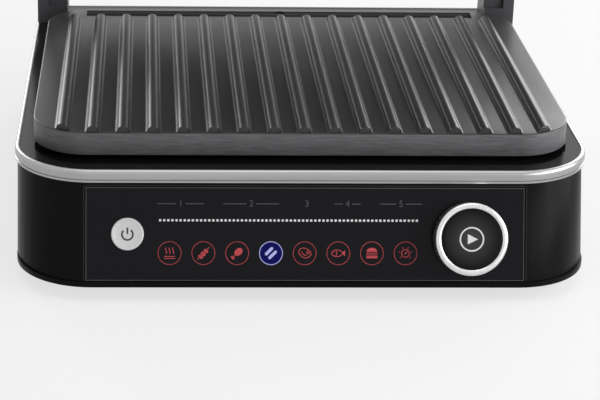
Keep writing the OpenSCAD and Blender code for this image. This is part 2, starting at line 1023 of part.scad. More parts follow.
module upper_clips() {
    hook_z = plate_z + keeper_up + keeper_h + seat_gap + clip_t;
    color("#c8c8ca")
    opened()
        mirrored_up() {
            translate([0, front_y + plate_set + skirt_t + clip_in, hook_z])
                rotate([0, 0, -90])
                    clip_leaf(hook_z - (2 * mid_z - upper_foot_z));
            translate([0, front_y + plate_end - skirt_t - clip_in, hook_z])
                rotate([0, 0, 90])
                    clip_leaf(hook_z - (2 * mid_z - upper_foot_z));
        }
}

module reflector() {
    color("#c9c9cc")
    difference() {
        union() {
            difference() {
                union() {
                    translate([0, 0, reflector_z])
                        linear_extrude(pan_drop)
                            well_outline(-reflector_edge);
                    translate([0, 0, reflector_z + pan_drop - sheet_t])
                        linear_extrude(sheet_t)
                            well_outline(reflector_lip);
                }
                translate([0, 0, reflector_z + sheet_t])
                    linear_extrude(pan_drop + 1)
                        well_outline(-reflector_edge - sheet_t);
            }
            heater_cradles();
        }
        both_sides()
            translate([leg_x, front_y + heater_y1, reflector_z])
                cylinder(h = 10, r = heater_r + 0.15, center = true);
        translate([0, front_y + (heater_y0 + heater_y1) / 2, reflector_z])
            cylinder(h = 10, r = 4.1, center = true);
    }
}

module heater_cradles() {
    both_sides()
        for (d = [heater_y0 + 40, heater_y1 - 40])
            translate([heater_x, front_y + d, 0])
                difference() {
                    translate([-5, -1.5, reflector_z + 0.5])
                        cube([10, 3, heater_z - reflector_z - 0.5]);
                    translate([0, 0, heater_z])
                        rotate([90, 0, 0])
                            cylinder(h = 10, r = heater_r + 0.1, center = true);
                }
}

// Points along a bend of radius r at corner p, from direction u to direction v
function bend(p, u, v, r) = [
    for (a = [0 : 18 : 90]) p - r * u + r * v - r * cos(a) * v + r * sin(a) * u
];

function reversed(list) = [for (i = [len(list) - 1 : -1 : 0]) list[i]];

// Right half of the heater's route: half the inner loop, the outer loop and a leg
function heater_half(inner_x, inner_y) = concat(
    bend([inner_x, inner_y, heater_z], [1, 0, 0], [0, -1, 0], bend_r),
    bend([inner_x, front_y + heater_y0, heater_z], [0, -1, 0], [1, 0, 0], bend_r),
    bend([heater_x, front_y + heater_y0, heater_z], [1, 0, 0], [0, 1, 0], bend_r),
    bend([heater_x, front_y + heater_y1, heater_z], [0, 1, 0], [-1, 0, 0], bend_r),
    bend([leg_x, front_y + heater_y1, heater_z], [-1, 0, 0], [0, 0, -1], leg_bend_r),
    [[leg_x, front_y + heater_y1, reflector_z - leg_drop]]
);

function tangent(path, i) =
    let (d = path[min(i + 1, len(path) - 1)] - path[max(i - 1, 0)]) d / norm(d);

function across_of(t) =
    let (c = cross(t, [0, 0, 1])) norm(c) < 0.01 ? [0, 1, 0] : c / norm(c);

// One ring of points round the route at point i
function ring(path, i, r, sides) =
    let (t = tangent(path, i), u = across_of(t), v = cross(u, t))
    [for (k = [0 : sides - 1]) path[i] + r * (cos(360 * k / sides) * u + sin(360 * k / sides) * v)];

module tube(path, r, sides) {
    n = len(path);
    points = [for (i = [0 : n - 1]) each ring(path, i, r, sides)];
    walls = [
        for (i = [0 : n - 2])
            for (k = [0 : sides - 1])
                let (a = i * sides + k, b = i * sides + (k + 1) % sides)
                each [[a, b, a + sides], [b, b + sides, a + sides]]
    ];
    start = [for (k = [sides - 1 : -1 : 0]) k];
    end = [for (k = [0 : sides - 1]) (n - 1) * sides + k];
    polyhedron(points, concat(walls, [start, end]));
}

module heater() {
    right = heater_half(heater_x * 0.4, front_y + heater_y1 - 30);
    left = [for (p = reversed(right)) [-p[0], p[1], p[2]]];
    color("#6e6a66")
        tube(concat(left, right), heater_r, 10);
}

module sensor() {
    color("#b0893f")
    translate([0, front_y + (heater_y0 + heater_y1) / 2, 0]) {
        translate([0, 0, reflector_z - 8])
            cylinder(h = slab_z - seat_gap - reflector_z + 8, r = 4);
        translate([0, 0, reflector_z + sheet_t])
            cylinder(h = 2, r = 7);
    }
}

module lower_plate() {
    color("#3a3a3c")
    grill_plate(true);
}

module lower_reflector() {
    reflector();
}

module lower_heater() {
    heater();
}

module lower_sensor() {
    sensor();
}

// Push button with its rod, along X: the rod's tip is at x = 0
module release_button(rod_l, cap_t) {
    translate([rod_l, -cap_w / 2, -cap_h / 2])
        cube([cap_t, cap_w, cap_h]);
    x_bar(0, rod_l + 1, release_r);
}

module lower_release_button() {
    tip_x = clip_x + 0.5;
    rod_l = base_w / 2 - wall_t - tip_x;
    color("#2a2a2c")
    translate([tip_x, front_y + clip_set, release_z])
        release_button(rod_l, wall_t + cap_out);
}

module drip_tray() {
    color("#26262a")
    translate([0, front_y + tray_set, tray_z]) {
        difference() {
            translate([-tray_w / 2, 0, 0])
                cube([tray_w, tray_d + 2 + 0.5, tray_h]);
            translate([-tray_w / 2 + tray_t, tray_t, tray_t])
                cube([tray_w - 2 * tray_t, tray_d - 2 * tray_t - 1, tray_h]);
        }
        // outer end with a finger lip
        translate([-tray_w / 2 - 4, tray_d + 2 + 0.5, -1.5])
            cube([tray_w + 8, 3, tray_h + 5]);
        translate([-30, tray_d + 5, tray_h - 1])
            cube([60, 9, 3]);
    }
}

// HINGE

module hinge_tower() {
    x0 = arm_x - 0.5 - tower_t;
    difference() {
        union() {
            translate([x0, front_y + tower_set, deck_z])
                cube([tower_t, tower_d, 12]);
            translate([x0, 0, 0])
                across(tower_t) {
                    translate([hinge_y, hinge_z])
                        circle(tower_r);
                    translate([hinge_y - tower_r, deck_z])
                        square([2 * tower_r, hinge_z - deck_z]);
                }
            hinge_stop(x0 + tower_t - 1);
        }
        translate([x0 - 1, hinge_y, hinge_z])
            x_bar(0, tower_t + 8, pin_r);
        for (d = tower_screw_sets)
            translate([tower_screw_x, front_y + d, deck_z - 1])
                cylinder(h = 10, r = 2);
    }
}

// Block on the tower that the arm's heel lies against when the lid is open
module hinge_stop(x0) {
    translate([x0, 0, 0])
        across(7)
            translate([hinge_y, hinge_z])
                difference() {
                    union() {
                        rotate(-90 - lean_back)
                            translate([arm_end_r + 0.5, -heel_w / 2 - seat_gap / 2 - stop_w])
                                square([heel_l - arm_end_r, stop_w]);
                        translate([-tower_front, trim_z + seat_gap - hinge_z])
                            square([6, hinge_z - 16 - trim_z - seat_gap]);
                    }
                    circle(arm_end_r + 0.3);
                }
}

module hinge_tower_left() {
    color("#3c3c40")
    mirror([1, 0, 0])
        hinge_tower();
}

module hinge_tower_right() {
    color("#3c3c40")
    hinge_tower();
}

module hinge_pins() {
    color("#c0c0c4")
    both_sides()
        translate([0, hinge_y, hinge_z]) {
            x_bar(arm_x - 0.5 - tower_t, arm_out + 0.2, pin_r);
            x_bar(arm_out + 0.2, arm_out + 0.2 + head_t, head_r);
        }
}

module arm_profile() {
    hinge_at = [hinge_y, hinge_z];
    pivot_at = [front_y + pivot_set, pivot_z];
    handle_at = [front_y + handle_set, handle_z];
    difference() {
        union() {
            bar_2d(hinge_at, handle_at, arm_w);
            translate(hinge_at)
                circle(arm_end_r);
            translate(handle_at)
                circle(grip_r);
            translate(hinge_at)
                translate([0, -heel_w / 2])
                    square([heel_l, heel_w]);
        }
        translate(hinge_at)
            circle(pin_r + 2);
        translate(pivot_at)
            circle(pin_r + run_gap);
        translate(handle_at)
            circle(2.2);
    }
}

module arm() {
    color("#2c2c30")
    opened()
        difference() {
            translate([arm_x, 0, 0])
                across(arm_t)
                    arm_profile();
            translate([arm_out - 3, front_y + handle_set, handle_z])
                x_bar(0, 5, 5.2);
        }
}

module arm_left() {
    mirror([1, 0, 0])
        arm();
}

module arm_right() {
    arm();
}

module hinge_bushes() {
    color("#b08d4a")
    both_sides()
        translate([arm_x, hinge_y, hinge_z])
            difference() {
                x_bar(0, arm_t, pin_r + 2);
                x_bar(-1, arm_t + 1, pin_r + run_gap);
            }
}

module handle_grip() {
    color("#b8b8bb")
    opened()
        translate([0, front_y + handle_set, handle_z])
            difference() {
                x_bar(-arm_x, arm_x, handle_r);
                x_bar(-arm_x - 1, arm_x + 1, 5);
            }
}

module handle_rod() {
    color("#88888c")
    opened()
        translate([0, front_y + handle_set, handle_z])
            difference() {
                x_bar(-arm_x, arm_x, 5);
                both_sides()
                    x_bar(arm_x - 14, arm_x + 1, 2);
            }
}

module handle_screws() {
    color("#9a9aa0")
    opened()
        both_sides()
            translate([0, front_y + handle_set, handle_z]) {
                x_bar(arm_x - 12, arm_out - 3, 2);
                x_bar(arm_out - 3, arm_out - 0.2, 5);
            }
}

// LID, drawn shut and then opened

module lid_frame() {
    color("#18181a")
    opened()
        difference() {
            union() {
                translate([0, 0, frame_z])
                    linear_extrude(frame_h)
                        difference() {
                            lid_outline(0);
                            lid_outline(3);
                        }
                translate([0, 0, frame_top - 0.1])
                    linear_extrude(3.1)
                        difference() {
                            lid_outline(cover_t + seat_gap);
                            lid_outline(3);
                        }
                mirrored_up() {
                    translate([0, 0, deck_z - deck_t])
                        linear_extrude(deck_t)
                            lid_outline(2.9);
                    plate_seat();
                }
                both_sides()
                    translate([lid_w / 2 - 12, front_y + pivot_set, pivot_z])
                        x_bar(0, 11, 8.5);
                clip_legs();
            }
            mirrored_up()
                translate([0, 0, deck_z - 2 * deck_t])
                    linear_extrude(4 * deck_t)
                        well_outline(0);
            mirrored_up()
                front_and_rear()
                    translate([-clip_in + keeper_in - 4 + clip_t, 0, 0])
                        cube([10, clip_w + 2, 20], center = true);
            both_sides() {
                translate([lid_w / 2 - 11, front_y + pivot_set, pivot_z])
                    x_bar(0, 20, pin_r);
                for (d = lid_screw_sets)
                    translate([lid_screw_x, front_y + d, frame_z])
                        cylinder(h = 20, r = screw_r + 0.3, center = true);
            }
            translate([0, front_y + lid_set, upper_release_z])
                cube([cap_w + 2 * seat_gap, 14, cap_h + 2 * seat_gap], center = true);
        }
}

// Pairs of legs on the lid's inner deck that carry the upper clips
module clip_legs() {
    leg_z = 2 * mid_z - deck_z;
    for (y = [plate_set + skirt_t + clip_in - 4, plate_end - skirt_t - clip_in])
        for (x = [-8, 4])
            translate([x, front_y + y, leg_z + deck_t - 1])
                cube([4, 4, upper_foot_z - leg_z - deck_t + 1]);
}

// Rows of [distance in from the wall, share of the height] that the cover's edge rises by;
// the first lies outside the wall, so that the slope starts on the wall itself
cover_rows = [[-3, 0.3], [3, 0.8], [9, 1]];

// Section of the cover from wall a to wall b
module cover_profile(a, b, sheet) {
    foot = frame_top - 2 - sheet;
    rise = [for (row = cover_rows) [row[0] + sheet, frame_top + row[1] * cover_h - sheet]];
    polygon(concat(
        [[a + rise[0][0], foot]],
        [for (p = rise) [a + p[0], p[1]]],
        [for (p = reversed(rise)) [b - p[0], p[1]]],
        [[b - rise[0][0], foot]]
    ));
}

// Solid of the steel cover's outer shape, or of the room inside its sheet
module cover_form(sheet = 0) {
    intersection() {
        translate([0, 0, frame_top - sheet])
            linear_extrude(cover_h + 5)
                lid_outline(sheet);
        translate([0, front_y + lid_end + 5, 0])
            rotate([90, 0, 0])
                linear_extrude(lid_end - lid_set + 10)
                    cover_profile(-lid_w / 2, lid_w / 2, sheet);
        translate([-lid_w, 0, 0])
            across(2 * lid_w)
                cover_profile(front_y + lid_set, front_y + lid_end, sheet);
    }
}

module lid_cover() {
    stud_z = 2 * mid_z - deck_z + deck_t;
    color("#bdbdc0")
    opened() {
        difference() {
            cover_form();
            cover_form(cover_t);
        }
        // studs that end inside the flat part of the sheet
        both_sides()
            for (d = lid_screw_sets)
                translate([lid_screw_x, front_y + d, stud_z])
                    difference() {
                        cylinder(h = cover_top - cover_t / 2 - stud_z, r = 3);
                        cylinder(h = 24, r = screw_r, center = true);
                    }
    }
}

module lid_screws() {
    color("#9a9aa0")
    opened()
        both_sides()
            for (d = lid_screw_sets)
                translate([lid_screw_x, front_y + d, 2 * mid_z - deck_z - 1.6])
                    screw(screw_r, 3, deck_t + 10, 1.6);
}

module pivot_pins() {
    color("#c0c0c4")
    opened()
        both_sides()
            translate([0, front_y + pivot_set, pivot_z]) {
                x_bar(lid_w / 2 - 11, arm_out + 0.2, pin_r);
                x_bar(arm_out + 0.2, arm_out + 0.2 + head_t, head_r);
            }
}

module pivot_washers() {
    color("#d8d8d8")
    opened()
        both_sides()
            translate([lid_w / 2, front_y + pivot_set, pivot_z])
                difference() {
                    x_bar(0, arm_gap - 0.1, pin_r + 4);
                    x_bar(-1, arm_gap + 1, pin_r);
                }
}

module upper_plate() {
    color("#3a3a3c")
    opened()
        mirrored_up()
            grill_plate(false);
}

module upper_reflector() {
    notch_set = well_y0 - reflector_lip - 1;
    notch_end = plate_set + skirt_t + clip_in + clip_t + seat_gap;
    opened()
        mirrored_up()
            difference() {
                reflector();
                translate([-clip_w / 2, front_y + notch_set, reflector_z + pan_drop - 2 * sheet_t])
                    cube([clip_w, notch_end - notch_set, 4 * sheet_t]);
            }
}

module upper_heater() {
    opened()
        mirrored_up()
            heater();
}

module upper_sensor() {
    opened()
        mirrored_up()
            sensor();
}

module upper_release_button() {
    rod_l = lid_front_over + skirt_t + clip_in - 0.5 - 3;
    color("#2a2a2c")
    opened()
        translate([0, front_y + lid_set + 3 + rod_l, upper_release_z])
            rotate([0, 0, -90])
                release_button(rod_l, 3 + cap_out);
}

bottom_pan();
base_housing();
trim_band();
top_deck();
rubber_feet();
base_screws();
control_panel();
display_board();
board_screws();
lamp_frame();
light_guide();
power_switch();
power_button();
encoder_body();
encoder_rotor();
encoder_shaft();
knob_body();
knob_ring();
power_board();
terminal_block();
cord_gland();
lower_plate();
lower_reflector();
lower_heater();
lower_sensor();
lower_clips();
lower_release_button();
drip_tray();
hinge_tower_left();
hinge_tower_right();
tower_screws();
hinge_pins();
arm_left();
arm_right();
hinge_bushes();
handle_grip();
handle_rod();
handle_screws();
lid_frame();
lid_cover();
lid_screws();
pivot_pins();
pivot_washers();
upper_plate();
upper_reflector();
upper_heater();
upper_sensor();
upper_clips();
upper_release_button();
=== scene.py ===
"""Electric contact grill with its lid open: the looks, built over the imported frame."""
import json
from math import atan2, cos, pi, radians, sin, sqrt

import bmesh
import bpy
from mathutils import Matrix, Vector


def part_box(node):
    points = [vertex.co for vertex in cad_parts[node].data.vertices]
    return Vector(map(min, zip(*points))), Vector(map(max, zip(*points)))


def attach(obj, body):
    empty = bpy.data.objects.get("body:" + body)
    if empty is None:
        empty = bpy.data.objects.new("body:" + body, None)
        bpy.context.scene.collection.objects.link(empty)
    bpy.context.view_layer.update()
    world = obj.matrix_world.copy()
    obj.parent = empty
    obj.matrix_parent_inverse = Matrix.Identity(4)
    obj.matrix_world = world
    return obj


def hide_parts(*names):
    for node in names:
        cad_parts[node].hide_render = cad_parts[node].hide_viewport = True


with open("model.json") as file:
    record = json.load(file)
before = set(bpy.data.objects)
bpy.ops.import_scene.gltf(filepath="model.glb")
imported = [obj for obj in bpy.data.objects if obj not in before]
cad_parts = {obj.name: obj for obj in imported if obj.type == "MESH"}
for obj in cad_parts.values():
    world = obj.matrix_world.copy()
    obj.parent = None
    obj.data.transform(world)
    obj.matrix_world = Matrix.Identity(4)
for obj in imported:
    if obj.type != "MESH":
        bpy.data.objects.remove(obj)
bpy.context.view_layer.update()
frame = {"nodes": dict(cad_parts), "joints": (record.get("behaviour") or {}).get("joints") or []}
NODES = frame["nodes"]
MM = 0.001

# Places taken from the frame, in metres
PLATE_LO, PLATE_HI = (Vector(v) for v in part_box("lower_plate"))
TRIM_LO, TRIM_HI = (Vector(v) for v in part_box("trim_band"))
GRIP_LO, GRIP_HI = (Vector(v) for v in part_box("handle_grip"))
HOUSE_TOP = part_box("base_housing")[1][2]
PAN_LO = Vector(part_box("bottom_pan")[0])
JOINTS = {j["name"]: j for j in frame["joints"]}
HINGE = Vector(JOINTS["lid_hinge"]["pos_m"])
LID_OPEN = radians(-JOINTS["lid_hinge"]["range_deg"][0])

# Sizes that the frame's source gives, in metres
FRONT_Y = PAN_LO.y
FRONT_LEAN = radians(20)
CORNER_FRONT_R = 42 * MM
CORNER_REAR_R = 18 * MM
TRIM_PROUD = 1.2 * MM
PLATE_R = 30 * MM
PLATE_H = 13 * MM
PLATE_SLAB = 5 * MM
SKIRT_T = 5 * MM
RIB_N = 17
RIB_PITCH = 16.4 * MM
RIB_W = 7.7 * MM
RIB_H = 3.5 * MM
SHUT_GAP = 1.5 * MM
GUTTER_D = 12 * MM
GUTTER_DEEP = 2 * MM
GUTTER_END = 24 * MM
DRAIN_SET = 9 * MM
DRAIN_R = 4 * MM
SPOUT_R = 6 * MM
CLIP_SET = 128 * MM
PANEL_W = 236.6 * MM
PANEL_LIP = 2.5 * MM
PANEL_SINK = 0.6 * MM
PANEL_T = 2.5 * MM
PAN_RIM_H = 3 * MM
SEAT_GAP = 0.3 * MM
BUTTON_X = 95.8 * MM
BUTTON_R = 8.75 * MM
KNOB_X = 87.7 * MM
KNOB_LOW = 1.9 * MM
KNOB_R = 19.6 * MM
KNOB_FACE_R = 16.15 * MM
KNOB_H = 13.5 * MM
KNOB_N0 = 0.9 * MM
LID_W = 300 * MM
COVER_H = 18 * MM
LID_FRONT_OVER = 4 * MM
LID_REAR_OVER = 6 * MM
LID_SIDE_OVER = 2 * MM
FRAME_SET = 1 * MM
FRAME_H = 20.5 * MM

PLATE_W = PLATE_HI.x - PLATE_LO.x
PLATE_Y0 = PLATE_LO.y
PLATE_Y1 = PLATE_HI.y
RIB_TOP = PLATE_HI.z
PLATE_TOP = RIB_TOP - RIB_H
PLATE_Z = PLATE_TOP - PLATE_H
MID_Z = RIB_TOP + SHUT_GAP / 2
LID_Y0 = PLATE_Y0 - LID_FRONT_OVER
LID_Y1 = PLATE_Y1 + LID_REAR_OVER
FRAME_Z = 2 * MID_Z - PLATE_Z + FRAME_SET
FRAME_TOP = FRAME_Z + FRAME_H

# The sloped front: its own axes are X right, U up the slope and N out of the front
SLOPE_U = Vector((0, sin(FRONT_LEAN), cos(FRONT_LEAN)))
SLOPE_N = Vector((0, -cos(FRONT_LEAN), sin(FRONT_LEAN)))
PANEL_S0 = PAN_RIM_H / cos(FRONT_LEAN) + SEAT_GAP
PANEL_S1 = (HOUSE_TOP - PAN_LO.z) / cos(FRONT_LEAN) - PANEL_LIP
PANEL_H = PANEL_S1 - PANEL_S0
PANEL_AT = Vector((0, FRONT_Y, PAN_LO.z)) + SLOPE_U * (PANEL_S0 + PANEL_S1) / 2
PANEL_FRAME = Matrix((
    (1, 0, 0, PANEL_AT.x),
    (0, SLOPE_U.y, SLOPE_N.y, PANEL_AT.y),
    (0, SLOPE_U.z, SLOPE_N.z, PANEL_AT.z),
    (0, 0, 0, 1),
))

# Camera, from the photograph's vanishing points, for an image of 600 by 400
IMAGE_W = 600
CAM_FOCUS_PX = 1991.7
CAM_AT = Vector((-0.0863, FRONT_Y - 0.9737, 0.4500))
CAM_YAW = radians(2.40)
CAM_PITCH = radians(21.86)
CAM_ROLL = radians(1.03)
CAM_SHIFT_X = 0.1288
CAM_SHIFT_Y = -0.0010
SENSOR_W = 36


def make_camera():
    ahead = Vector((
        sin(CAM_YAW) * cos(CAM_PITCH), cos(CAM_YAW) * cos(CAM_PITCH), -sin(CAM_PITCH)
    ))
    level = Vector((cos(CAM_YAW), -sin(CAM_YAW), 0))
    up = level.cross(ahead)
    right = level * cos(CAM_ROLL) + up * sin(CAM_ROLL)
    up = up * cos(CAM_ROLL) - level * sin(CAM_ROLL)
    data = bpy.data.cameras.new("camera")
    data.sensor_width = SENSOR_W
    data.lens = CAM_FOCUS_PX / IMAGE_W * SENSOR_W
    data.shift_x = CAM_SHIFT_X
    data.shift_y = CAM_SHIFT_Y
    data.clip_end = 20
    camera = bpy.data.objects.new("camera", data)
    bpy.context.scene.collection.objects.link(camera)
    camera.matrix_world = Matrix((
        (right.x, up.x, -ahead.x, CAM_AT.x),
        (right.y, up.y, -ahead.y, CAM_AT.y),
        (right.z, up.z, -ahead.z, CAM_AT.z),
        (0, 0, 0, 1),
    ))
    bpy.context.scene.camera = camera


# MATERIALS

def material(name, color, rough, metal=0.0, **shader):
    """A material and its nodes, links and shader, to which detail is then added."""
    mat = bpy.data.materials.new(name)
    mat.use_nodes = True
    nodes, links = mat.node_tree.nodes, mat.node_tree.links
    bsdf = nodes["Principled BSDF"]
    bsdf.inputs["Base Color"].default_value = (*color, 1)
    bsdf.inputs["Roughness"].default_value = rough
    bsdf.inputs["Metallic"].default_value = metal
    for key, value in shader.items():
        bsdf.inputs[key.replace("_", " ")].default_value = value
    return mat, nodes, links, bsdf


def stretched(nodes, links, scale):
    """Object coordinates stretched by a scale along each axis."""
    coords = nodes.new("ShaderNodeTexCoord")
    mapping = nodes.new("ShaderNodeMapping")
    mapping.inputs["Scale"].default_value = scale
    links.new(coords.outputs["Object"], mapping.inputs["Vector"])
    return mapping.outputs["Vector"]


def noise(nodes, links, vector, scale, detail=3, rough=0.55):
    """Soft random pattern from 0 to 1."""
    tex = nodes.new("ShaderNodeTexNoise")
    tex.inputs["Scale"].default_value = scale
    tex.inputs["Detail"].default_value = detail
    tex.inputs["Roughness"].default_value = rough
    links.new(vector, tex.inputs["Vector"])
    return tex.outputs["Fac"]


def remap(nodes, links, value, low, high):
    """Value from 0..1 to low..high."""
    node = nodes.new("ShaderNodeMapRange")
    node.inputs["To Min"].default_value = low
    node.inputs["To Max"].default_value = high
    links.new(value, node.inputs["Value"])
    return node.outputs["Result"]


def tint(nodes, links, value, dark, light):
    """Colour that goes from dark to light over the middle of a value's range."""
    ramp = nodes.new("ShaderNodeValToRGB")
    ramp.color_ramp.elements[0].position = 0.3
    ramp.color_ramp.elements[1].position = 0.7
    ramp.color_ramp.elements[0].color = (*dark, 1)
    ramp.color_ramp.elements[1].color = (*light, 1)
    links.new(value, ramp.inputs["Fac"])
    return ramp.outputs["Color"]


def add_bump(nodes, links, bsdf, height, strength, distance):
    """Relief on the shader, with its height in metres."""
    bump = nodes.new("ShaderNodeBump")
    bump.inputs["Strength"].default_value = strength
    bump.inputs["Distance"].default_value = distance
    links.new(height, bump.inputs["Height"])
    links.new(bump.outputs["Normal"], bsdf.inputs["Normal"])


def grained(name, color, rough, metal=0.0, grain=900, spread=0.08, depth=0.04 * MM, **shader):
    """Moulded or coated surface with a fine grain and a little change of gloss and tone."""
    mat, nodes, links, bsdf = material(name, color, rough, metal, **shader)
    place = stretched(nodes, links, (1, 1, 1))
    fine = noise(nodes, links, place, grain)
    broad = noise(nodes, links, place, 14, detail=4)
    links.new(remap(nodes, links, broad, rough - spread, rough + spread), bsdf.inputs["Roughness"])
    dark = [c * 0.88 for c in color]
    light = [min(1, c * 1.12) for c in color]
    both = nodes.new("ShaderNodeMix")
    both.inputs["Factor"].default_value = 0.5
    links.new(broad, both.inputs["A"])
    links.new(fine, both.inputs["B"])
    links.new(tint(nodes, links, both.outputs["Result"], dark, light), bsdf.inputs["Base Color"])
    add_bump(nodes, links, bsdf, fine, 0.5, depth)
    return mat


def brushed(name, color, rough, along="X", spread=0.06):
    """Brushed metal with its grain along one axis."""
    mat, nodes, links, bsdf = material(name, color, rough, 1.0)
    scale = {"X": (6, 700, 700), "Y": (700, 6, 700), "Z": (700, 700, 6)}[along]
    lines = noise(nodes, links, stretched(nodes, links, scale), 1.0, detail=5, rough=0.7)
    links.new(remap(nodes, links, lines, rough - spread, rough + spread), bsdf.inputs["Roughness"])
    dark = [c * 0.9 for c in color]
    light = [min(1, c * 1.08) for c in color]
    links.new(tint(nodes, links, lines, dark, light), bsdf.inputs["Base Color"])
    add_bump(nodes, links, bsdf, lines, 0.35, 0.02 * MM)
    return mat


def lined_coating(name):
    """Coated side of a plate, with the fine level lines of its machining under the coat."""
    mat, nodes, links, bsdf = material(name, (0.085, 0.085, 0.09), 0.48, 0.15)
    lines = noise(nodes, links, stretched(nodes, links, (95, 95, 1500)), 1.0, detail=5, rough=0.7)
    links.new(tint(nodes, links, lines, (0.070, 0.070, 0.074), (0.160, 0.160, 0.167)),
              bsdf.inputs["Base Color"])
    links.new(remap(nodes, links, lines, 0.42, 0.54), bsdf.inputs["Roughness"])
    add_bump(nodes, links, bsdf, lines, 0.4, 0.03 * MM)
    return mat


def heat_tinted(name):
    """Steel sheath with a straw and blue tint from heat."""
    mat, nodes, links, bsdf = material(name, (0.3, 0.27, 0.24), 0.42, 1.0)
    place = stretched(nodes, links, (1, 1, 1))
    broad = noise(nodes, links, place, 24, detail=4)
    straw, blue = (0.36, 0.27, 0.17), (0.2, 0.22, 0.28)
    links.new(tint(nodes, links, broad, blue, straw), bsdf.inputs["Base Color"])
    add_bump(nodes, links, bsdf, noise(nodes, links, place, 900), 0.3, 0.03 * MM)
    return mat


def board_material(name):
    """Circuit board with faint tracks."""
    mat, nodes, links, bsdf = material(name, (0.02, 0.12, 0.06), 0.38)
    brick = nodes.new("ShaderNodeTexBrick")
    brick.inputs["Scale"].default_value = 90
    brick.inputs["Mortar Size"].default_value = 0.03
    brick.inputs["Color1"].default_value = (0.02, 0.12, 0.06, 1)
    brick.inputs["Color2"].default_value = (0.018, 0.105, 0.055, 1)
    brick.inputs["Mortar"].default_value = (0.05, 0.2, 0.1, 1)
    links.new(stretched(nodes, links, (1, 1, 1)), brick.inputs["Vector"])
    links.new(brick.outputs["Color"], bsdf.inputs["Base Color"])
    return mat


def knob_sheen_face_material():
    """Dark face, paler towards its middle: a painted sheen in place of the reflection in its
    dished face.
    """
    mat, nodes, links, bsdf = material("knob_face_painted_sheen", (0.02, 0.02, 0.021), 0.3, 0.2,
                                       Specular_IOR_Level=0.12)
    coords = nodes.new("ShaderNodeTexCoord")
    away = nodes.new("ShaderNodeVectorMath")
    away.operation = "DISTANCE"
    away.inputs[1].default_value = knob_place(Vector((0, 0, KNOB_H)))
    links.new(coords.outputs["Object"], away.inputs[0])
    share = nodes.new("ShaderNodeMapRange")
    share.inputs["From Max"].default_value = KNOB_FACE_R
    links.new(away.outputs["Value"], share.inputs["Value"])
    ramp = nodes.new("ShaderNodeValToRGB")
    # painted sheen: pale grey at the middle fading to near black at the rim, a reflection painted
    # into the colour
    ramp.color_ramp.elements[0].color = (0.058, 0.058, 0.060, 1)
    ramp.color_ramp.elements[1].color = (0.004, 0.004, 0.005, 1)
    ramp.color_ramp.elements[1].position = 0.95
    links.new(share.outputs["Result"], ramp.inputs["Fac"])
    links.new(ramp.outputs["Color"], bsdf.inputs["Base Color"])
    grain = noise(nodes, links, coords.outputs["Object"], 900)
    add_bump(nodes, links, bsdf, grain, 0.3, 0.008 * MM)
    return mat


def seen_share(nodes, links, low, high):
    """High for a ray from the camera, a reflection or a see-through surface, else low."""
    path = nodes.new("ShaderNodeLightPath")
    value = path.outputs["Is Camera Ray"]
    for name in ("Is Glossy Ray", "Is Transmission Ray"):
        most = nodes.new("ShaderNodeMath")
        most.operation = "MAXIMUM"
        links.new(value, most.inputs[0])
        links.new(path.outputs[name], most.inputs[1])
        value = most.outputs["Value"]
    return remap(nodes, links, value, low, high)


def floor_material():
    """Pale floor, partly plain white to the camera and in reflections, that keeps its shadow."""
    mat, nodes, links, bsdf = material("floor_pale", (0.86, 0.86, 0.86), 0.8,
                                       Specular_IOR_Level=0.1)
    plain = nodes.new("ShaderNodeEmission")
    mix = nodes.new("ShaderNodeMixShader")
    links.new(seen_share(nodes, links, 0, 0.7), mix.inputs["Fac"])
    links.new(bsdf.outputs["BSDF"], mix.inputs[1])
    links.new(plain.outputs["Emission"], mix.inputs[2])
    links.new(mix.outputs["Shader"], nodes["Material Output"].inputs["Surface"])
    return mat


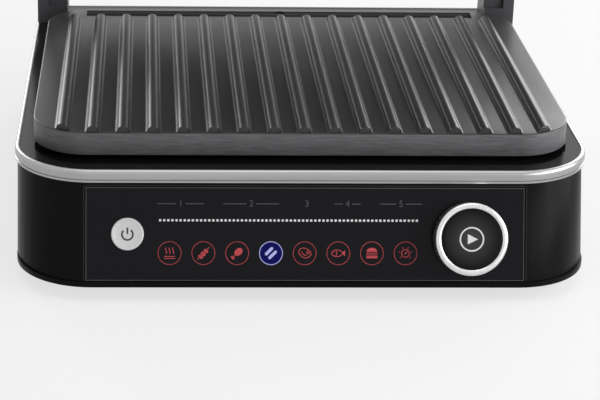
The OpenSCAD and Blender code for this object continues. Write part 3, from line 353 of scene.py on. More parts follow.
def make_materials():
    return {
        "coating": grained("plate_coating", (0.038, 0.038, 0.040), 0.29, 0.25, grain=1500,
                           spread=0.04, depth=0.06 * MM, Specular_IOR_Level=0.26),
        "plate_side": lined_coating("plate_side"),
        "trim": brushed("trim_silver", (0.38, 0.38, 0.385), 0.30, "X"),
        "deck": grained("deck_black", (0.005, 0.005, 0.006), 0.16, grain=500, spread=0.03,
                        depth=0.01 * MM, Specular_IOR_Level=0.18),
        "housing": grained("housing_black", (0.0038, 0.0038, 0.0042), 0.32, grain=1600,
                           spread=0.05, depth=0.02 * MM, Specular_IOR_Level=0.06),
        "panel": grained("panel_gloss", (0.0045, 0.0045, 0.0065), 0.2, grain=300, spread=0.02,
                         depth=0.004 * MM, Specular_IOR_Level=0.12),
        "button": grained("button_silver", (0.62, 0.62, 0.63), 0.38, 0.5, grain=1400,
                          spread=0.03, depth=0.01 * MM),
        "ring": brushed("knob_silver", (0.68, 0.68, 0.69), 0.27, "Z", spread=0.04),
        "knob": grained("knob_black", (0.010, 0.010, 0.011), 0.22, grain=700, spread=0.04,
                        depth=0.01 * MM),
        "cover": brushed("cover_steel", (0.47, 0.47, 0.48), 0.32, "X"),
        "arm": grained("arm_metal", (0.055, 0.055, 0.06), 0.4, 0.3, grain=1400, spread=0.05,
                       depth=0.04 * MM),
        "handle": brushed("handle_steel", (0.50, 0.50, 0.51), 0.28, "X"),
        "steel": brushed("inner_steel", (0.52, 0.52, 0.53), 0.36, "Z"),
        "sheet": grained("reflector_sheet", (0.68, 0.68, 0.68), 0.3, 0.95, grain=200,
                         spread=0.08, depth=0.03 * MM),
        "sheath": heat_tinted("heater_sheath"),
        "bronze": grained("bronze", (0.5, 0.33, 0.15), 0.42, 0.9, grain=1800, spread=0.06),
        "rubber": grained("foot_rubber", (0.018, 0.018, 0.018), 0.72, grain=1300, spread=0.06,
                          depth=0.08 * MM),
        "board": board_material("board_green"),
        "dark": grained("part_dark", (0.022, 0.022, 0.024), 0.45, grain=1200, spread=0.05),
        "milky": grained("light_plastic", (0.78, 0.78, 0.76), 0.5, grain=400,
                         Subsurface_Weight=0.2),
        "ivory": grained("terminal_ivory", (0.72, 0.68, 0.56), 0.5, grain=800),
        "lamp_white": grained("print_white", (0.78, 0.79, 0.80), 0.5, grain=600, spread=0.03,
                              depth=0.002 * MM),
        "print_grey": grained("print_grey", (0.085, 0.085, 0.09), 0.5, grain=600, spread=0.03,
                              depth=0.002 * MM, Specular_IOR_Level=0.1),
        "print_red": grained("print_red", (0.58, 0.085, 0.095), 0.5, grain=600, spread=0.03,
                             depth=0.002 * MM, Specular_IOR_Level=0.1),
        "print_blue": grained("print_blue", (0.006, 0.005, 0.105), 0.5, grain=600, spread=0.03,
                              depth=0.002 * MM, Specular_IOR_Level=0.05),
        # painted highlight: paler grey along the panel's edge, in place of the light its edge
        # catches
        "panel_rim_painted_highlight": grained("panel_rim_painted_highlight", (0.075, 0.075, 0.08), 0.3, grain=600, spread=0.03,
                              depth=0.004 * MM),
        # painted highlight: paler grey line round the recess, in place of the light its chamfer
        # catches
        "recess_rim_painted_highlight": grained("recess_rim_painted_highlight", (0.05, 0.05, 0.052), 0.35, grain=600, spread=0.03,
                               depth=0.004 * MM, Specular_IOR_Level=0.2),
        "print_pale": grained("print_pale", (0.50, 0.52, 1.0), 0.5, grain=600, spread=0.03,
                              depth=0.002 * MM),
        "symbol": grained("symbol_dark", (0.01, 0.01, 0.011), 0.5, grain=600, spread=0.03,
                          depth=0.002 * MM),
        # knob face with a painted sheen, paler towards its middle
        "knob_face_painted_sheen": knob_sheen_face_material(),
        "floor": floor_material(),
    }


# CAD nodes of each material
NODE_FINISH = {
    "housing": ["bottom_pan", "base_housing", "lid_frame", "drip_tray"],
    "deck": ["top_deck"],
    "trim": ["trim_band"],
    "panel": ["control_panel"],
    "button": ["power_button"],
    "ring": ["knob_ring"],
    "knob": ["knob_body"],
    "coating": ["lower_plate", "upper_plate"],
    "cover": ["lid_cover"],
    "arm": ["arm_left", "arm_right", "hinge_tower_left", "hinge_tower_right"],
    "handle": ["handle_grip"],
    "steel": ["base_screws", "board_screws", "encoder_body", "encoder_shaft", "lower_clips",
              "tower_screws", "hinge_pins", "handle_rod", "handle_screws", "lid_screws",
              "pivot_pins", "upper_clips"],
    "sheet": ["lower_reflector", "upper_reflector"],
    "sheath": ["lower_heater", "upper_heater"],
    "bronze": ["encoder_rotor", "hinge_bushes", "lower_sensor", "upper_sensor"],
    "rubber": ["rubber_feet"],
    "board": ["display_board", "power_board"],
    "dark": ["lamp_frame", "power_switch", "cord_gland", "lower_release_button",
             "upper_release_button", "pivot_washers"],
    "milky": ["light_guide"],
    "ivory": ["terminal_block"],
}


def dress_nodes(mats):
    for key, names in NODE_FINISH.items():
        for name in names:
            node = NODES[name]
            for slot in node.material_slots:
                slot.material = mats[key]
            if not node.material_slots:
                node.data.materials.append(mats[key])


# MESH HELPERS

def new_object(name, bm):
    """Turns a bmesh into an object with its faces outwards."""
    bmesh.ops.recalc_face_normals(bm, faces=bm.faces)
    mesh = bpy.data.meshes.new(name)
    bm.to_mesh(mesh)
    bm.free()
    thing = bpy.data.objects.new(name, mesh)
    bpy.context.scene.collection.objects.link(thing)
    return thing


def new_piece(name, bm, mat, body, replaced=(), smooth=radians(32)):
    """Turns a bmesh into a piece that rides on a body. Edges over the smooth angle stay sharp."""
    bmesh.ops.remove_doubles(bm, verts=bm.verts, dist=1e-7)
    piece = new_object(name, bm)
    piece.data.materials.append(mat)
    if smooth:
        piece.data.shade_smooth()
        piece.data.set_sharp_from_angle(angle=smooth)
    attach(piece, body)
    if replaced:
        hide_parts(*replaced)
    return piece


def opened(v):
    """A point of the lid from its shut place to its open place."""
    y, z = v.y - HINGE.y, v.z - HINGE.z
    c, s = cos(-LID_OPEN), sin(-LID_OPEN)
    return Vector((v.x, HINGE.y + y * c - z * s, HINGE.z + y * s + z * c))


def mirrored_up(v):
    return Vector((v.x, v.y, 2 * MID_Z - v.z))


def on_panel(v):
    return PANEL_FRAME @ v


def move_all(bm, rule):
    for v in bm.verts:
        v.co = rule(v.co)


def rounded_outline(w, y0, y1, front_r, rear_r, inset=0.0, steps=14):
    """Points round a plan outline, drawn in by an inset, in the same number for every inset."""
    points = []
    corners = [
        (w / 2 - front_r, y0 + front_r, front_r, -90),
        (w / 2 - rear_r, y1 - rear_r, rear_r, 0),
        (-w / 2 + rear_r, y1 - rear_r, rear_r, 90),
        (-w / 2 + front_r, y0 + front_r, front_r, 180),
    ]
    for cx, cy, r, start in corners:
        for i in range(steps + 1):
            a = radians(start + 90 * i / steps)
            drawn_r = max(r - inset, 0.5 * MM)
            points.append((cx + drawn_r * cos(a), cy + drawn_r * sin(a)))
    return points


def add_ring(bm, points, z):
    return [bm.verts.new((x, y, z)) for x, y in points]


def bridge(bm, a, b, closed=True):
    n = len(a)
    for i in range(n if closed else n - 1):
        j = (i + 1) % n
        bm.faces.new((a[i], a[j], b[j], b[i]))


def loft(bm, rings, cap_start=True, cap_end=True):
    for a, b in zip(rings, rings[1:]):
        bridge(bm, a, b)
    if cap_start:
        bm.faces.new(rings[0][::-1])
    if cap_end:
        bm.faces.new(rings[-1])


def lathe(bm, profile, steps=96, close=False):
    """Turns (radius, height) points about Z. Ends at radius 0 close to a point."""
    rings = []
    for r, z in profile:
        if r < 1e-6:
            rings.append([bm.verts.new((0, 0, z))])
        else:
            rings.append([
                bm.verts.new((r * cos(2 * pi * i / steps), r * sin(2 * pi * i / steps), z))
                for i in range(steps)
            ])
    pairs = list(zip(rings, rings[1:]))
    if close:
        pairs.append((rings[-1], rings[0]))
    for a, b in pairs:
        for i in range(steps):
            j = (i + 1) % steps
            if len(a) == 1:
                bm.faces.new((a[0], b[j], b[i]))
            elif len(b) == 1:
                bm.faces.new((a[i], a[j], b[0]))
            else:
                bm.faces.new((a[i], a[j], b[j], b[i]))


def stroke(bm, points, width, n0, n1, closed=False):
    """Thin bar of a width along a line of points."""
    rings = []
    count = len(points)
    for i, (x, y) in enumerate(points):
        prev = points[i - 1] if closed or i else points[0]
        after = points[(i + 1) % count] if closed or i < count - 1 else points[-1]
        dx, dy = after[0] - prev[0], after[1] - prev[1]
        size = sqrt(dx * dx + dy * dy)
        ox, oy = -dy / size * width / 2, dx / size * width / 2
        rings.append([
            bm.verts.new(p) for p in (
                (x + ox, y + oy, n0), (x - ox, y - oy, n0), (x - ox, y - oy, n1),
                (x + ox, y + oy, n1))
        ])
    if closed:
        loft(bm, rings + rings[:1], cap_start=False, cap_end=False)
    else:
        loft(bm, rings)


def polygon(bm, points, n0, n1):
    """Thin plate with an outline."""
    loft(bm, [add_ring(bm, points, n0), add_ring(bm, points, n1)])


def capsule(p, q, r):
    """Outline of a bar with round ends."""
    a = atan2(q[1] - p[1], q[0] - p[0])
    points = []
    for (cx, cy), start in ((q, a - pi / 2), (p, a + pi / 2)):
        points += [(cx + r * cos(start + pi * i / 8), cy + r * sin(start + pi * i / 8))
                   for i in range(9)]
    return points


def ellipse(cx, cy, rx, ry, turn=0.0, count=24):
    """Outline of an ellipse, turned by degrees."""
    c, s = cos(radians(turn)), sin(radians(turn))
    points = []
    for i in range(count):
        x, y = rx * cos(2 * pi * i / count), ry * sin(2 * pi * i / count)
        points.append((cx + x * c - y * s, cy + x * s + y * c))
    return points


# SOFTENED CAD PIECES

# Width of the rounded edges of CAD nodes, in millimetres
SOFT_EDGES = {
    "base_housing": 0.5, "control_panel": 0.25, "arm_left": 1.2, "arm_right": 1.2,
    "hinge_tower_left": 0.8, "hinge_tower_right": 0.8, "drip_tray": 0.6,
    "lower_release_button": 0.6, "upper_release_button": 0.6, "rubber_feet": 0.8,
    "bottom_pan": 0.4, "top_deck": 0.3, "hinge_pins": 0.6, "pivot_pins": 0.6,
    "handle_screws": 0.4, "terminal_block": 0.4,
}


def soften_nodes():
    """Rounds the sharp edges of CAD pieces that stay as they are."""
    for name, width in SOFT_EDGES.items():
        node = NODES[name]
        weld = node.modifiers.new("weld", "WELD")
        weld.merge_threshold = 1e-6
        bevel = node.modifiers.new("bevel", "BEVEL")
        bevel.width = width * MM
        bevel.segments = 3
        bevel.limit_method = "ANGLE"
        bevel.angle_limit = radians(40)
        bevel.use_clamp_overlap = True
        bevel.harden_normals = True


# GRILL PLATES

def plate_front(x, inset):
    """Place of the plate's front edge at x, drawn in by an inset."""
    past = abs(x) - (PLATE_W / 2 - PLATE_R)
    if past <= 0:
        return PLATE_Y0 + inset
    return PLATE_Y0 + PLATE_R - sqrt(max((PLATE_R - inset) ** 2 - past ** 2, 0))


def on_plate_wall(v):
    """True on the plate's upright outer wall, and false on its rounded upper edge."""
    past_x = abs(v.x) - (PLATE_W / 2 - PLATE_R)
    past_y = abs(v.y - (PLATE_Y0 + PLATE_Y1) / 2) - ((PLATE_Y1 - PLATE_Y0) / 2 - PLATE_R)
    depth = PLATE_R - max(past_x, past_y)
    if past_x > 0 and past_y > 0:
        depth = PLATE_R - sqrt(past_x ** 2 + past_y ** 2)
    return depth < 0.6 * MM and PLATE_Z < v.z < PLATE_TOP - 0.45 * MM


def rib_section():
    """Section of a rib from its right foot to its left foot: a round crown whose sides run
    out into hollow feet."""
    r, turn = 3.3 * MM, radians(74)
    side_x, side_z = r * sin(turn), RIB_H - r * (1 - cos(turn))
    foot_r = side_z / (1 - cos(turn))
    foot_x = side_x + foot_r * sin(turn)
    foot = [(foot_x - foot_r * sin(turn * i / 8), foot_r * (1 - cos(turn * i / 8)))
            for i in range(8)]
    crown = [(r * sin(turn * i / 10), RIB_H - r + r * cos(turn * i / 10))
             for i in range(10, -11, -1)]
    return foot + crown + [(-x, z) for x, z in reversed(foot)]


def add_rib(bm, x0):
    """One rib, cut off along the plate's edge under a fine chamfer, leaning back to its foot."""
    section = rib_section()
    sink = 0.25 * MM
    chamfer = 0.5 * MM
    edge = 0.9 * MM
    lean = 0.35
    taper = 2.2 * MM
    to_gutter = 4 * MM
    rear = PLATE_Y1 - SKIRT_T - GUTTER_D - to_gutter
    base = [(section[-1][0], -sink), (section[0][0], -sink)]
    rings = []
    for inner, y_add in ((True, 0), (False, chamfer)):
        ring = []
        for x, z in section + base:
            under = 0
            if inner and z >= 0:
                x, z = x * (1 - chamfer / (RIB_W / 2)), z * (1 - chamfer / RIB_H)
                under = lean * (RIB_H - z)
            y = plate_front(x0 + x, edge) + y_add + under
            ring.append(bm.verts.new((x0 + x, y, PLATE_TOP + z)))
        rings.append(ring)
    for y, narrow, low in ((rear - taper, 1, 1), (rear, 0.8, 0.35)):
        rings.append([
            bm.verts.new((x0 + x * narrow, y, PLATE_TOP + (z * low if z > 0 else z)))
            for x, z in section + base
        ])
    loft(bm, rings)


def plate_body(bm):
    """Slab with a skirt, from its underside down inside the skirt and up its outer wall."""
    rows = [
        (SKIRT_T + 0.3 * MM, PLATE_TOP - PLATE_SLAB), (SKIRT_T, PLATE_TOP - PLATE_SLAB - 0.3 * MM),
        (SKIRT_T, PLATE_Z + 0.4 * MM), (SKIRT_T - 0.4 * MM, PLATE_Z), (0.9 * MM, PLATE_Z),
        (0.25 * MM, PLATE_Z + 0.3 * MM), (0, PLATE_Z + 1 * MM), (0, PLATE_TOP - 0.9 * MM),
        (0.07 * MM, PLATE_TOP - 0.5 * MM), (0.25 * MM, PLATE_TOP - 0.22 * MM),
        (0.5 * MM, PLATE_TOP - 0.06 * MM), (0.8 * MM, PLATE_TOP),
    ]
    loft(bm, [
        add_ring(bm, rounded_outline(PLATE_W, PLATE_Y0, PLATE_Y1, PLATE_R, PLATE_R, inset), z)
        for inset, z in rows
    ])


def block(bm, x0, x1, y0, y1, z0, z1):
    corners = [(x0, y0), (x1, y0), (x1, y1), (x0, y1)]
    loft(bm, [add_ring(bm, corners, z0), add_ring(bm, corners, z1)])


def keepers(bm, at_sides):
    """Ledges inside the skirt that the spring clips hook over."""
    z0, z1 = PLATE_Z + 1 * MM, PLATE_Z + 3.5 * MM
    half, depth, set_in = 6 * MM, 2.5 * MM, PLATE_W / 2 - SKIRT_T
    if at_sides:
        y = FRONT_Y + CLIP_SET
        block(bm, set_in - depth, set_in + 1 * MM, y - half, y + half, z0, z1)
        block(bm, -set_in - 1 * MM, depth - set_in, y - half, y + half, z0, z1)
    else:
        for y, side in ((PLATE_Y0 + SKIRT_T, 1), (PLATE_Y1 - SKIRT_T, -1)):
            block(bm, -half, half, min(y - side * 1 * MM, y + side * depth),
                  max(y - side * 1 * MM, y + side * depth), z0, z1)


def carve(piece, cutters):
    """Cuts other objects out of a piece for good and deletes them."""
    for cutter in cutters:
        mod = piece.modifiers.new("cut", "BOOLEAN")
        mod.object = cutter
        mod.operation = "DIFFERENCE"
        mod.solver = "EXACT"
    graph = bpy.context.evaluated_depsgraph_get()
    mesh = bpy.data.meshes.new_from_object(piece.evaluated_get(graph))
    piece.modifiers.clear()
    piece.data = mesh
    for cutter in cutters:
        bpy.data.objects.remove(cutter)


def gutter_cutter():
    """Trough at the plate's rear with a rounded floor."""
    y0, y1 = PLATE_Y1 - SKIRT_T - GUTTER_D, PLATE_Y1 - SKIRT_T
    x1 = PLATE_W / 2 - GUTTER_END
    over, side = 2 * MM, -0.8 * MM
    section = [
        (y0, over), (y0, side), (y0 + 0.4 * MM, -1.5 * MM), (y0 + 1.4 * MM, -GUTTER_DEEP),
        (y1 - 1.4 * MM, -GUTTER_DEEP), (y1 - 0.4 * MM, -1.5 * MM), (y1, side), (y1, over),
    ]
    bm = bmesh.new()
    loft(bm, [[bm.verts.new((x, y, PLATE_TOP + z)) for y, z in section] for x in (-x1, x1)])
    return new_object("gutter_cut", bm)


def drain_cutter():
    """Hole in the gutter's floor with a chamfered mouth."""
    mouth_r, low, high = DRAIN_R + 0.8 * MM, -30 * MM, 10 * MM
    bm = bmesh.new()
    lathe(bm, [
        (0, low), (DRAIN_R, low), (DRAIN_R, -GUTTER_DEEP - 0.4 * MM),
        (mouth_r, -GUTTER_DEEP + 0.4 * MM), (mouth_r, high), (0, high),
    ], 48)
    move_all(bm, lambda v: Vector((v.x, PLATE_Y1 - DRAIN_SET + v.y, PLATE_TOP + v.z)))
    return new_object("drain_cut", bm)


def spout(bm):
    """Outlet under the drain, down to the reflector's hole."""
    top, foot = PLATE_TOP - 2.5 * MM, PLATE_Z - 6 * MM
    rings = [
        add_ring(bm, ellipse(0, PLATE_Y1 - DRAIN_SET, r, r, count=48), z)
        for r, z in ((SPOUT_R, top), (SPOUT_R, foot), (DRAIN_R, foot), (DRAIN_R, top))
    ]
    loft(bm, rings + rings[:1], cap_start=False, cap_end=False)


def make_plate(name, lower, mats):
    """Ribbed plate. The upper one is a mirror image, turned up with the open lid."""
    bm = bmesh.new()
    plate_body(bm)
    piece = new_object(name, bm)
    if lower:
        carve(piece, [gutter_cutter(), drain_cutter()])
    bm = bmesh.new()
    bm.from_mesh(piece.data)
    bpy.data.objects.remove(piece)
    for i in range(RIB_N):
        add_rib(bm, (i - (RIB_N - 1) / 2) * RIB_PITCH)
    keepers(bm, lower)
    for face in bm.faces:
        face.material_index = int(on_plate_wall(face.calc_center_median()))
    if lower:
        spout(bm)
    else:
        move_all(bm, lambda v: opened(mirrored_up(v)))
    body = "lower_plate_body" if lower else "upper_plate_body"
    node = "lower_plate" if lower else "upper_plate"
    plate = new_piece(name, bm, mats["coating"], body, [node])
    plate.data.materials.append(mats["plate_side"])


# TRIM BAND

def make_trim(mats):
    """Silver band with a rounded upper edge and a fine step above its foot."""
    z0, z1 = TRIM_LO.z, TRIM_HI.z
    w = TRIM_HI.x - TRIM_LO.x
    front_r = CORNER_FRONT_R + TRIM_PROUD
    rear_r = CORNER_REAR_R + TRIM_PROUD
    rows = [
        (0.5, z0), (0.15, z0 + 0.15 * MM), (0.1, z0 + 0.4 * MM), (0.1, z0 + 1.3 * MM),
        (0.65, z0 + 1.6 * MM), (0.65, z0 + 2.2 * MM), (0.02, z0 + 2.5 * MM),
        (0, z0 + 2.8 * MM), (0, z1 - 2.2 * MM), (0.1, z1 - 1.5 * MM), (0.4, z1 - 0.85 * MM),
        (0.9, z1 - 0.35 * MM), (1.5, z1 - 0.08 * MM), (2.0, z1), (2.4, z1 - 0.05 * MM),
        (2.7, z1 - 0.25 * MM), (2.8, z1 - 0.6 * MM), (2.8, z0),
    ]
    bm = bmesh.new()
    rings = [
        add_ring(bm, rounded_outline(w, TRIM_LO.y, TRIM_HI.y, front_r, rear_r, inset * MM, 20), z)
        for inset, z in rows
    ]
    loft(bm, rings + rings[:1], cap_start=False, cap_end=False)
    new_piece("trim_band_profile", bm, mats["trim"], "base", ["trim_band"])


# CONTROLS

def make_panel_rim_highlights(mats):
    """Edge of the glossy panel and the edge of the recess round it, in paler greys: painted
    highlights along these edges.
    """
    bm = bmesh.new()
    w, h = PANEL_W / 2, PANEL_H / 2
    n0, n1 = -PANEL_SINK - 0.4 * MM, -PANEL_SINK + 0.05 * MM
    rows = [(0.02, n0), (0.02, n1 - 0.2 * MM), (0.22, n1), (0.5, n1), (0.5, n0)]
    rings = []
    for inset, n in rows:
        x, y = w - inset * MM, h - inset * MM
        rings.append([bm.verts.new(v) for v in ((-x, -y, n), (x, -y, n), (x, y, n), (-x, y, n))])
    loft(bm, rings + rings[:1], cap_start=False, cap_end=False)
    move_all(bm, on_panel)
    # ring round the panel's edge in a paler grey: a painted highlight
    new_piece("panel_rim_highlight", bm, mats["panel_rim_painted_highlight"], "base", smooth=0)
    bm = bmesh.new()
    out = 0.85 * MM
    right = [(w + out, -h), (w + out, h - 0.3 * MM), (w + out - 0.3 * MM, h + 0.6 * MM),
             (w - 0.2 * MM, h + out)]
    # line round the recess on its top and sides in a paler grey: a painted highlight
    stroke(bm, right + [(-x, y) for x, y in reversed(right)], 0.2 * MM, -0.1 * MM, 0.03 * MM)
    move_all(bm, on_panel)
    new_piece("recess_rim_painted_highlight", bm, mats["recess_rim_painted_highlight"], "base", smooth=0)


def make_power_button(mats):
    """Satin disc with a shallow dish, on its stem."""
    r, n0, n1 = BUTTON_R, -PANEL_SINK - PANEL_T, 1.2 * MM
    flange_r, flange_n = r + 1.2 * MM, n0 - 1.2 * MM
    stem_r, stem_n = 2.5 * MM, -9 * MM
    profile = [
        (0, n1 - 0.5 * MM), (r * 0.35, n1 - 0.46 * MM), (r * 0.65, n1 - 0.33 * MM),
        (r - 1.1 * MM, n1 - 0.08 * MM), (r - 0.8 * MM, n1), (r - 0.55 * MM, n1),
        (r - 0.15 * MM, n1 - 0.15 * MM), (r, n1 - 0.5 * MM), (r, n0 - 0.1 * MM),
        (flange_r, n0 - 0.1 * MM), (flange_r, flange_n), (stem_r, flange_n), (stem_r, stem_n),
        (0, stem_n),
    ]
    bm = bmesh.new()
    lathe(bm, profile)
    move_all(bm, lambda v: on_panel(Vector((v.x - BUTTON_X, v.y, v.z))))
    new_piece("power_button_disc", bm, mats["button"], "power_button_body",
              ["power_button"])


def standby_symbol(mats):
    """Broken ring with a bar, inlaid in the power button."""
    top, line, ring_r = 0.78 * MM, 0.9 * MM, 2.95 * MM
    low, high = top - 0.1 * MM, top + 0.06 * MM
    bm = bmesh.new()
    ring = [(ring_r * sin(radians(a)) - BUTTON_X, ring_r * cos(radians(a)) - 0.2 * MM)
            for a in range(38, 324, 11)]
    stroke(bm, ring, line, low, high)
    stroke(bm, [(-BUTTON_X, 0.1 * MM), (-BUTTON_X, 3.5 * MM)], line, low, high)
    move_all(bm, on_panel)
    new_piece("standby_symbol", bm, mats["symbol"], "power_button_body")


def knob_place(v):
    return on_panel(Vector((v.x + KNOB_X, v.y - KNOB_LOW, v.z)))


def make_knob(mats):
    ring_foot = KNOB_N0 + 1.6 * MM
    r0, r1, top = KNOB_FACE_R + 0.05 * MM, KNOB_R, KNOB_H
    ring = [
        (r0, ring_foot), (r0, top - 1.3 * MM), (r0 + 0.12 * MM, top - 0.85 * MM),
        (r0 + 0.4 * MM, top - 0.38 * MM), (r0 + 0.8 * MM, top - 0.1 * MM), (r0 + 1.2 * MM, top),
        (r1 - 1.75 * MM, top), (r1 - 1.2 * MM, top - 0.1 * MM), (r1 - 0.7 * MM, top - 0.36 * MM),
        (r1 - 0.32 * MM, top - 0.76 * MM), (r1 - 0.08 * MM, top - 1.3 * MM), (r1, top - 1.95 * MM),
        (r1, ring_foot + 0.3 * MM), (r1 - 0.3 * MM, ring_foot),
    ]
    bm = bmesh.new()
    lathe(bm, ring, 160, close=True)
    move_all(bm, knob_place)
    new_piece("knob_ring_band", bm, mats["ring"], "dial", ["knob_ring"])
    face = KNOB_FACE_R
    body = [
        (0, top - 1.5 * MM), (face * 0.3, top - 1.48 * MM), (face * 0.6, top - 1.38 * MM),
        (face * 0.85, top - 1.2 * MM), (face - 0.5 * MM, top - 1.03 * MM),
        (face - 0.15 * MM, top - 1.12 * MM), (face, top - 1.4 * MM), (face, ring_foot),
        (r1 - 0.8 * MM, ring_foot), (r1 - 0.8 * MM, KNOB_N0), (face - 2 * MM, KNOB_N0),
        (face - 2 * MM, top - 3.5 * MM), (5 * MM, top - 3.5 * MM), (5 * MM, KNOB_N0),
        (3 * MM, KNOB_N0), (3 * MM, top - 3.5 * MM), (0, top - 3.5 * MM),
    ]
    bm = bmesh.new()
    lathe(bm, body, 128)
    move_all(bm, knob_place)
    # its face carries the painted sheen, paler towards the middle
    new_piece("knob_core", bm, mats["knob_face_painted_sheen"], "dial", ["knob_body"])
    # a plain start mark in place of a word
    bm = bmesh.new()
    up = top - 1.5 * MM
    side, mark_r = 4.4 * MM, 6.2 * MM
    polygon(bm, [(-side * 0.5, -side * 0.62), (side * 0.75, 0), (-side * 0.5, side * 0.62)],
            up - 0.1 * MM, up + 0.05 * MM)
    ring = [(mark_r * cos(radians(a)), mark_r * sin(radians(a))) for a in range(0, 360, 8)]
    stroke(bm, ring, 0.8 * MM, up - 0.1 * MM, up + 0.06 * MM, closed=True)
    move_all(bm, knob_place)
    new_piece("start_mark", bm, mats["lamp_white"], "dial")


# PRINTED SCALE ON THE PANEL

FACE_N = -PANEL_SINK
PRINT_T = 0.05 * MM

# Wavy line of rising heat, in millimetres
HEAT_WAVE = [(0.35 * sin(radians(step * 45)), -1.3 + 0.42 * step) for step in range(9)]

# Programme symbols from left to right, in millimetres round their middle: filled outlines,
# lines and closed lines
PICTOGRAMS = {
    "warm": (
        [],
        [[(x + dx, y + 0.9) for x, y in HEAT_WAVE] for dx in (-1.9, 0, 1.9)]
        + [[(-3, -1.8), (3, -1.8)], [(-3, -2.9), (3, -2.9)]],
        []),
    "skewer": (
        [capsule((-1.9, -1.7), (-1.1, -2.3), 0.85), capsule((-0.5, -0.2), (0.3, -0.8), 0.95),
         capsule((1.0, 1.4), (1.8, 0.8), 0.85)],
        [[(-3.2, -3.4), (3.2, 3.2)]],
        []),
    "leg": (
        [ellipse(0.7, 0.7, 2.5, 1.8, 40), ellipse(-2.75, -2.1, 0.65, 0.65),
         ellipse(-2.1, -2.75, 0.65, 0.65)],
        [[(-2.4, -2.4), (-0.6, -0.6)]],
        []),
    "sausage": (
        [capsule((-2.5, -0.4), (0.4, 2.5), 0.8), capsule((-0.6, -2.4), (2.4, 0.6), 0.8)],
        [[(-3.2, -1.1), (-2.9, -0.8)], [(0.8, 2.9), (1.1, 3.2)],
         [(-1.3, -3.1), (-1.0, -2.8)], [(2.8, 1.0), (3.1, 1.3)]],
        []),
    "steak": (
        [],
        [[(-1.7, 0.9), (-0.7, -0.7), (0.9, -1.2)]],
        [[(-3.3, 0.6), (-2.6, 2.3), (-0.6, 2.9), (1.5, 2.1), (3.3, 0.7), (3.4, -1.0),
          (2.1, -2.2), (0.3, -2.6), (-1.3, -2.0), (-2.5, -0.9)], ellipse(1.7, 0.3, 0.6, 0.6)]),
    "fish": (
        [[(2.0, 0), (3.6, 1.6), (3.6, -1.6)], ellipse(-2.2, 0.45, 0.28, 0.28, 0, 10)],
        [[(-1.2, 1.2), (-0.8, 0), (-1.2, -1.2)]],
        [ellipse(-0.7, 0, 2.9, 1.75)]),
    "burger": (
        [[(-2.9, 0.9), (-2.6, 1.9), (-1.6, 2.7), (0, 3.0), (1.6, 2.7), (2.6, 1.9), (2.9, 0.9)],
         capsule((-2.5, -2.1), (2.5, -2.1), 0.6)],
        [[(-3.1, 0.1), (3.1, 0.1)], [(-2.9, -0.9), (2.9, -0.9)]],
        []),
    "manual": (
        [ellipse(0, 0, 0.5, 0.5, 0, 12)],
        [[(0, 0), (1.2, 1.2)]]
        + [[(2.9 * cos(radians(a)), 2.9 * sin(radians(a))),
            (3.7 * cos(radians(a)), 3.7 * sin(radians(a)))] for a in range(-40, 221, 52)],
        [ellipse(0, 0, 2.1, 2.1)]),
}
LIT_SYMBOL = "sausage"
SYMBOL_X0 = -73.2 * MM
SYMBOL_PITCH = 18.15 * MM
SYMBOL_U = -10.2 * MM
SYMBOL_R = 6.43 * MM
SYMBOL_LINE = 0.4 * MM


def print_symbols(mats):
    """Symbols in thin rings. The lit one is pale on a blue disc."""
    red, blue, pale = bmesh.new(), bmesh.new(), bmesh.new()
    low, face = FACE_N - PRINT_T, FACE_N + PRINT_T
    ring_r, disc_r = SYMBOL_R - 0.25 * MM, SYMBOL_R - 0.5 * MM
    for i, (kind, shapes) in enumerate(PICTOGRAMS.items()):
        cx = SYMBOL_X0 + SYMBOL_PITCH * i
        print_to, ring_w, top = red, 0.27 * MM, face
        if kind == LIT_SYMBOL:
            polygon(blue, ellipse(cx, SYMBOL_U, disc_r, disc_r, 0, 48), low, face)
            print_to, ring_w, top = pale, SYMBOL_LINE, face + PRINT_T
        stroke(print_to, ellipse(cx, SYMBOL_U, ring_r, ring_r, 0, 64), ring_w, low,
               face + PRINT_T / 2, closed=True)
        filled, lines, loops = (
            [[(cx + x * MM, SYMBOL_U + y * MM) for x, y in points] for points in group]
            for group in shapes
        )
        for points in filled:
            polygon(print_to, points, low, top)
        for points in lines:
            stroke(print_to, points, SYMBOL_LINE, low, top)
        for points in loops:
            stroke(print_to, points, SYMBOL_LINE, low, top, closed=True)
    for name, bm, key in (("symbols_red", red, "print_red"),
                          ("symbol_lit_disc", blue, "print_blue"),
                          ("symbol_lit", pale, "print_pale")):
        move_all(bm, on_panel)
        new_piece(name, bm, mats[key], "base", smooth=0)


LAMP_ROW_N = 64
LAMP_ROW_X0 = -78.3 * MM
LAMP_ROW_X1 = 59.9 * MM
LAMP_ROW_U = 7.4 * MM
LAMP_SIDE = 1.28 * MM


def print_lamp_row(mats):
    """Row of small white lamps, each a square with cut corners."""
    bm = bmesh.new()
    half, cut = LAMP_SIDE / 2, 0.3 * MM
    square = [
        (half - cut, -half), (half, cut - half), (half, half - cut), (half - cut, half),
        (cut - half, half), (-half, half - cut), (-half, cut - half), (cut - half, -half),
    ]
    for i in range(LAMP_ROW_N):
        cx = LAMP_ROW_X0 + (LAMP_ROW_X1 - LAMP_ROW_X0) * i / (LAMP_ROW_N - 1)
        polygon(bm, [(cx + x, LAMP_ROW_U + y) for x, y in square], FACE_N - PRINT_T,
                FACE_N + PRINT_T)
    move_all(bm, on_panel)
    new_piece("lamp_row", bm, mats["lamp_white"], "base", smooth=0)


# Middle and width of each step of the scale above the lamps, in millimetres
SCALE_STEPS = [(-67.3, 24.8), (-29.4, 30), (0.5, 9.8), (22.4, 14), (51.3, 22.5)]
SCALE_U = 16.3 * MM
NUMBER_SIZE = 5.0 * MM
NUMBER_ROOM = 2.6
LEAST_LINED_STEP = 12


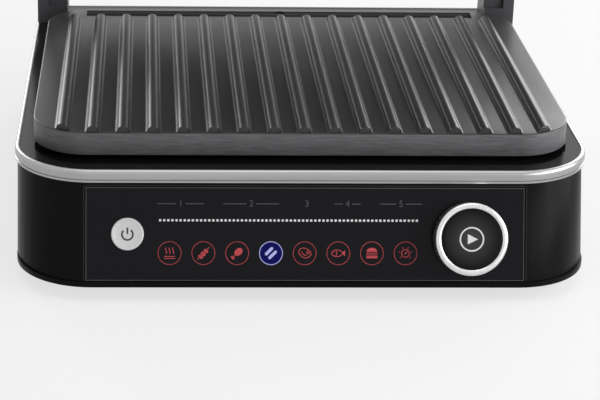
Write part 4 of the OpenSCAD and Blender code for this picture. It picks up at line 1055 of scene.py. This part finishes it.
def print_scale(mats):
    """Numbers from 1 to 5, each between two fine lines where its step is wide enough."""
    bm = bmesh.new()
    for i, (middle, width) in enumerate(SCALE_STEPS):
        data = bpy.data.curves.new("number", "FONT")
        data.body = str(i + 1)
        data.size = NUMBER_SIZE
        data.align_x = "CENTER"
        data.align_y = "CENTER"
        data.extrude = PRINT_T
        data.resolution_u = 3
        text = bpy.data.objects.new("number", data)
        bpy.context.scene.collection.objects.link(text)
        graph = bpy.context.evaluated_depsgraph_get()
        mesh = bpy.data.meshes.new_from_object(text.evaluated_get(graph))
        mesh.transform(Matrix.Translation((middle * MM, SCALE_U, FACE_N)))
        bm.from_mesh(mesh)
        bpy.data.objects.remove(text)
        if width < LEAST_LINED_STEP:
            continue
        for side in (-1, 1):
            x0 = (middle + side * NUMBER_ROOM) * MM
            x1 = (middle + side * width / 2) * MM
            stroke(bm, [(x0, SCALE_U), (x1, SCALE_U)], 0.5 * MM, FACE_N - PRINT_T,
                   FACE_N + PRINT_T)
    move_all(bm, on_panel)
    new_piece("scale_numbers", bm, mats["print_grey"], "base", smooth=0)


# LID AND HANDLE

def lid_points(inset):
    """Outline of the lid, drawn in by millimetres."""
    lid_r = PLATE_R + LID_SIDE_OVER
    return rounded_outline(LID_W, LID_Y0, LID_Y1, lid_r, lid_r, inset * MM, 20)


def make_cover(mats):
    """Pressed steel sheet with a soft edge and a shallow raised field."""
    z0, top = FRAME_TOP, FRAME_TOP + COVER_H
    outer = [
        (0.15, z0), (0, z0 + 0.3 * MM), (0, top - 8.3 * MM), (0.35, top - 6.3 * MM),
        (1.2, top - 4.6 * MM), (2.6, top - 3.05 * MM), (4.5, top - 1.85 * MM),
        (6.8, top - 1.05 * MM), (9.5, top - 0.7 * MM), (13, top - 0.62 * MM),
        (16, top - 0.55 * MM), (17.2, top - 0.3 * MM), (18.6, top - 0.05 * MM), (20.5, top),
    ]
    sheet = 1.1
    inner = []
    for inset, z in outer:
        in_by = sheet if inset < 9 else sheet * 0.6
        down_by = sheet * MM if inset > 1 else 0
        inner.append((inset + in_by, z - down_by))
    inner[0] = (sheet + 0.1, z0)
    inner[1] = (sheet, z0 + 0.3 * MM)
    bm = bmesh.new()
    rings = [add_ring(bm, lid_points(inset), z) for inset, z in reversed(inner)]
    rings += [add_ring(bm, lid_points(inset), z) for inset, z in outer]
    loft(bm, rings)
    move_all(bm, opened)
    new_piece("lid_shell", bm, mats["cover"], "lid", ["lid_cover"])


def make_handle(mats):
    """Tubular handle with a slight crown and a fine groove near each end."""
    half = GRIP_HI.x - 0.02 * MM
    centre = (GRIP_LO + GRIP_HI) / 2
    r = (GRIP_HI.z - GRIP_LO.z) / 2
    bore_r = 5.05 * MM
    right = [
        (bore_r, half), (r - 1.4 * MM, half), (r - 0.8 * MM, half - 0.25 * MM),
        (r - 0.45 * MM, half - 0.9 * MM), (r - 0.45 * MM, half - 5 * MM),
        (r - 0.85 * MM, half - 5.4 * MM), (r - 0.85 * MM, half - 6.1 * MM),
        (r - 0.4 * MM, half - 6.5 * MM), (r - 0.25 * MM, half - 30 * MM), (r, 20 * MM),
    ]
    profile = right + [(rr, -z) for rr, z in reversed(right)]
    bm = bmesh.new()
    lathe(bm, profile, 72, close=True)
    move_all(bm, lambda v: Vector((v.z, v.x, v.y)) + centre)
    new_piece("handle_tube", bm, mats["handle"], "arms", ["handle_grip"])


# STAGE AND LIGHT

FLOOR_HALF = 4
FLOOR_T = 20 * MM
FLOOR_GAP = 0.05 * MM


def make_stage(mats):
    bm = bmesh.new()
    block(bm, -FLOOR_HALF, FLOOR_HALF, -FLOOR_HALF, FLOOR_HALF, -FLOOR_T, -FLOOR_GAP)
    floor = new_object("floor", bm)
    floor.data.materials.append(mats["floor"])


def area_light(name, at, aim, size, power):
    """Soft white lamp. Places and sizes are in metres, the power in watts."""
    data = bpy.data.lights.new(name, "AREA")
    data.shape = "RECTANGLE"
    data.size, data.size_y = size
    data.energy = power
    lamp = bpy.data.objects.new(name, data)
    lamp.location = at
    lamp.rotation_euler = (Vector(aim) - Vector(at)).to_track_quat("-Z", "Y").to_euler()
    bpy.context.scene.collection.objects.link(lamp)


def make_light():
    world = bpy.data.worlds.new("world")
    bpy.context.scene.world = world
    world.use_nodes = True
    nodes, links = world.node_tree.nodes, world.node_tree.links
    back = nodes["Background"]
    back.inputs["Color"].default_value = (1, 1, 1, 1)
    links.new(seen_share(nodes, links, 0.32, 1), back.inputs["Strength"])
    area_light("rear_right", (1.2, 1.75, 0.95), (0.05, -0.1, 0.08), (1.0, 1.3), 17)
    area_light("rear_left", (-1.0, 1.8, 0.8), (-0.05, -0.1, 0.08), (0.4, 1.3), 10)
    area_light("top", (0.1, -0.1, 2.2), (0, 0, 0.1), (1.8, 1.4), 9)
    area_light("side_right", (1.1, -0.35, 0.45), (0.1, -0.17, 0.07), (1.0, 0.8), 9)
    area_light("front", (1.7, -1.8, 0.5), (0.1, -0.17, 0.08), (1.6, 1.0), 15)


def main():
    mats = make_materials()
    make_camera()
    dress_nodes(mats)
    soften_nodes()
    make_plate("lower_plate_ribbed", True, mats)
    make_plate("upper_plate_ribbed", False, mats)
    make_trim(mats)
    make_panel_rim_highlights(mats)
    make_power_button(mats)
    standby_symbol(mats)
    make_knob(mats)
    print_symbols(mats)
    print_lamp_row(mats)
    print_scale(mats)
    make_cover(mats)
    make_handle(mats)
    make_stage(mats)
    make_light()


main()
bpy.context.scene.view_settings.view_transform = "Standard"
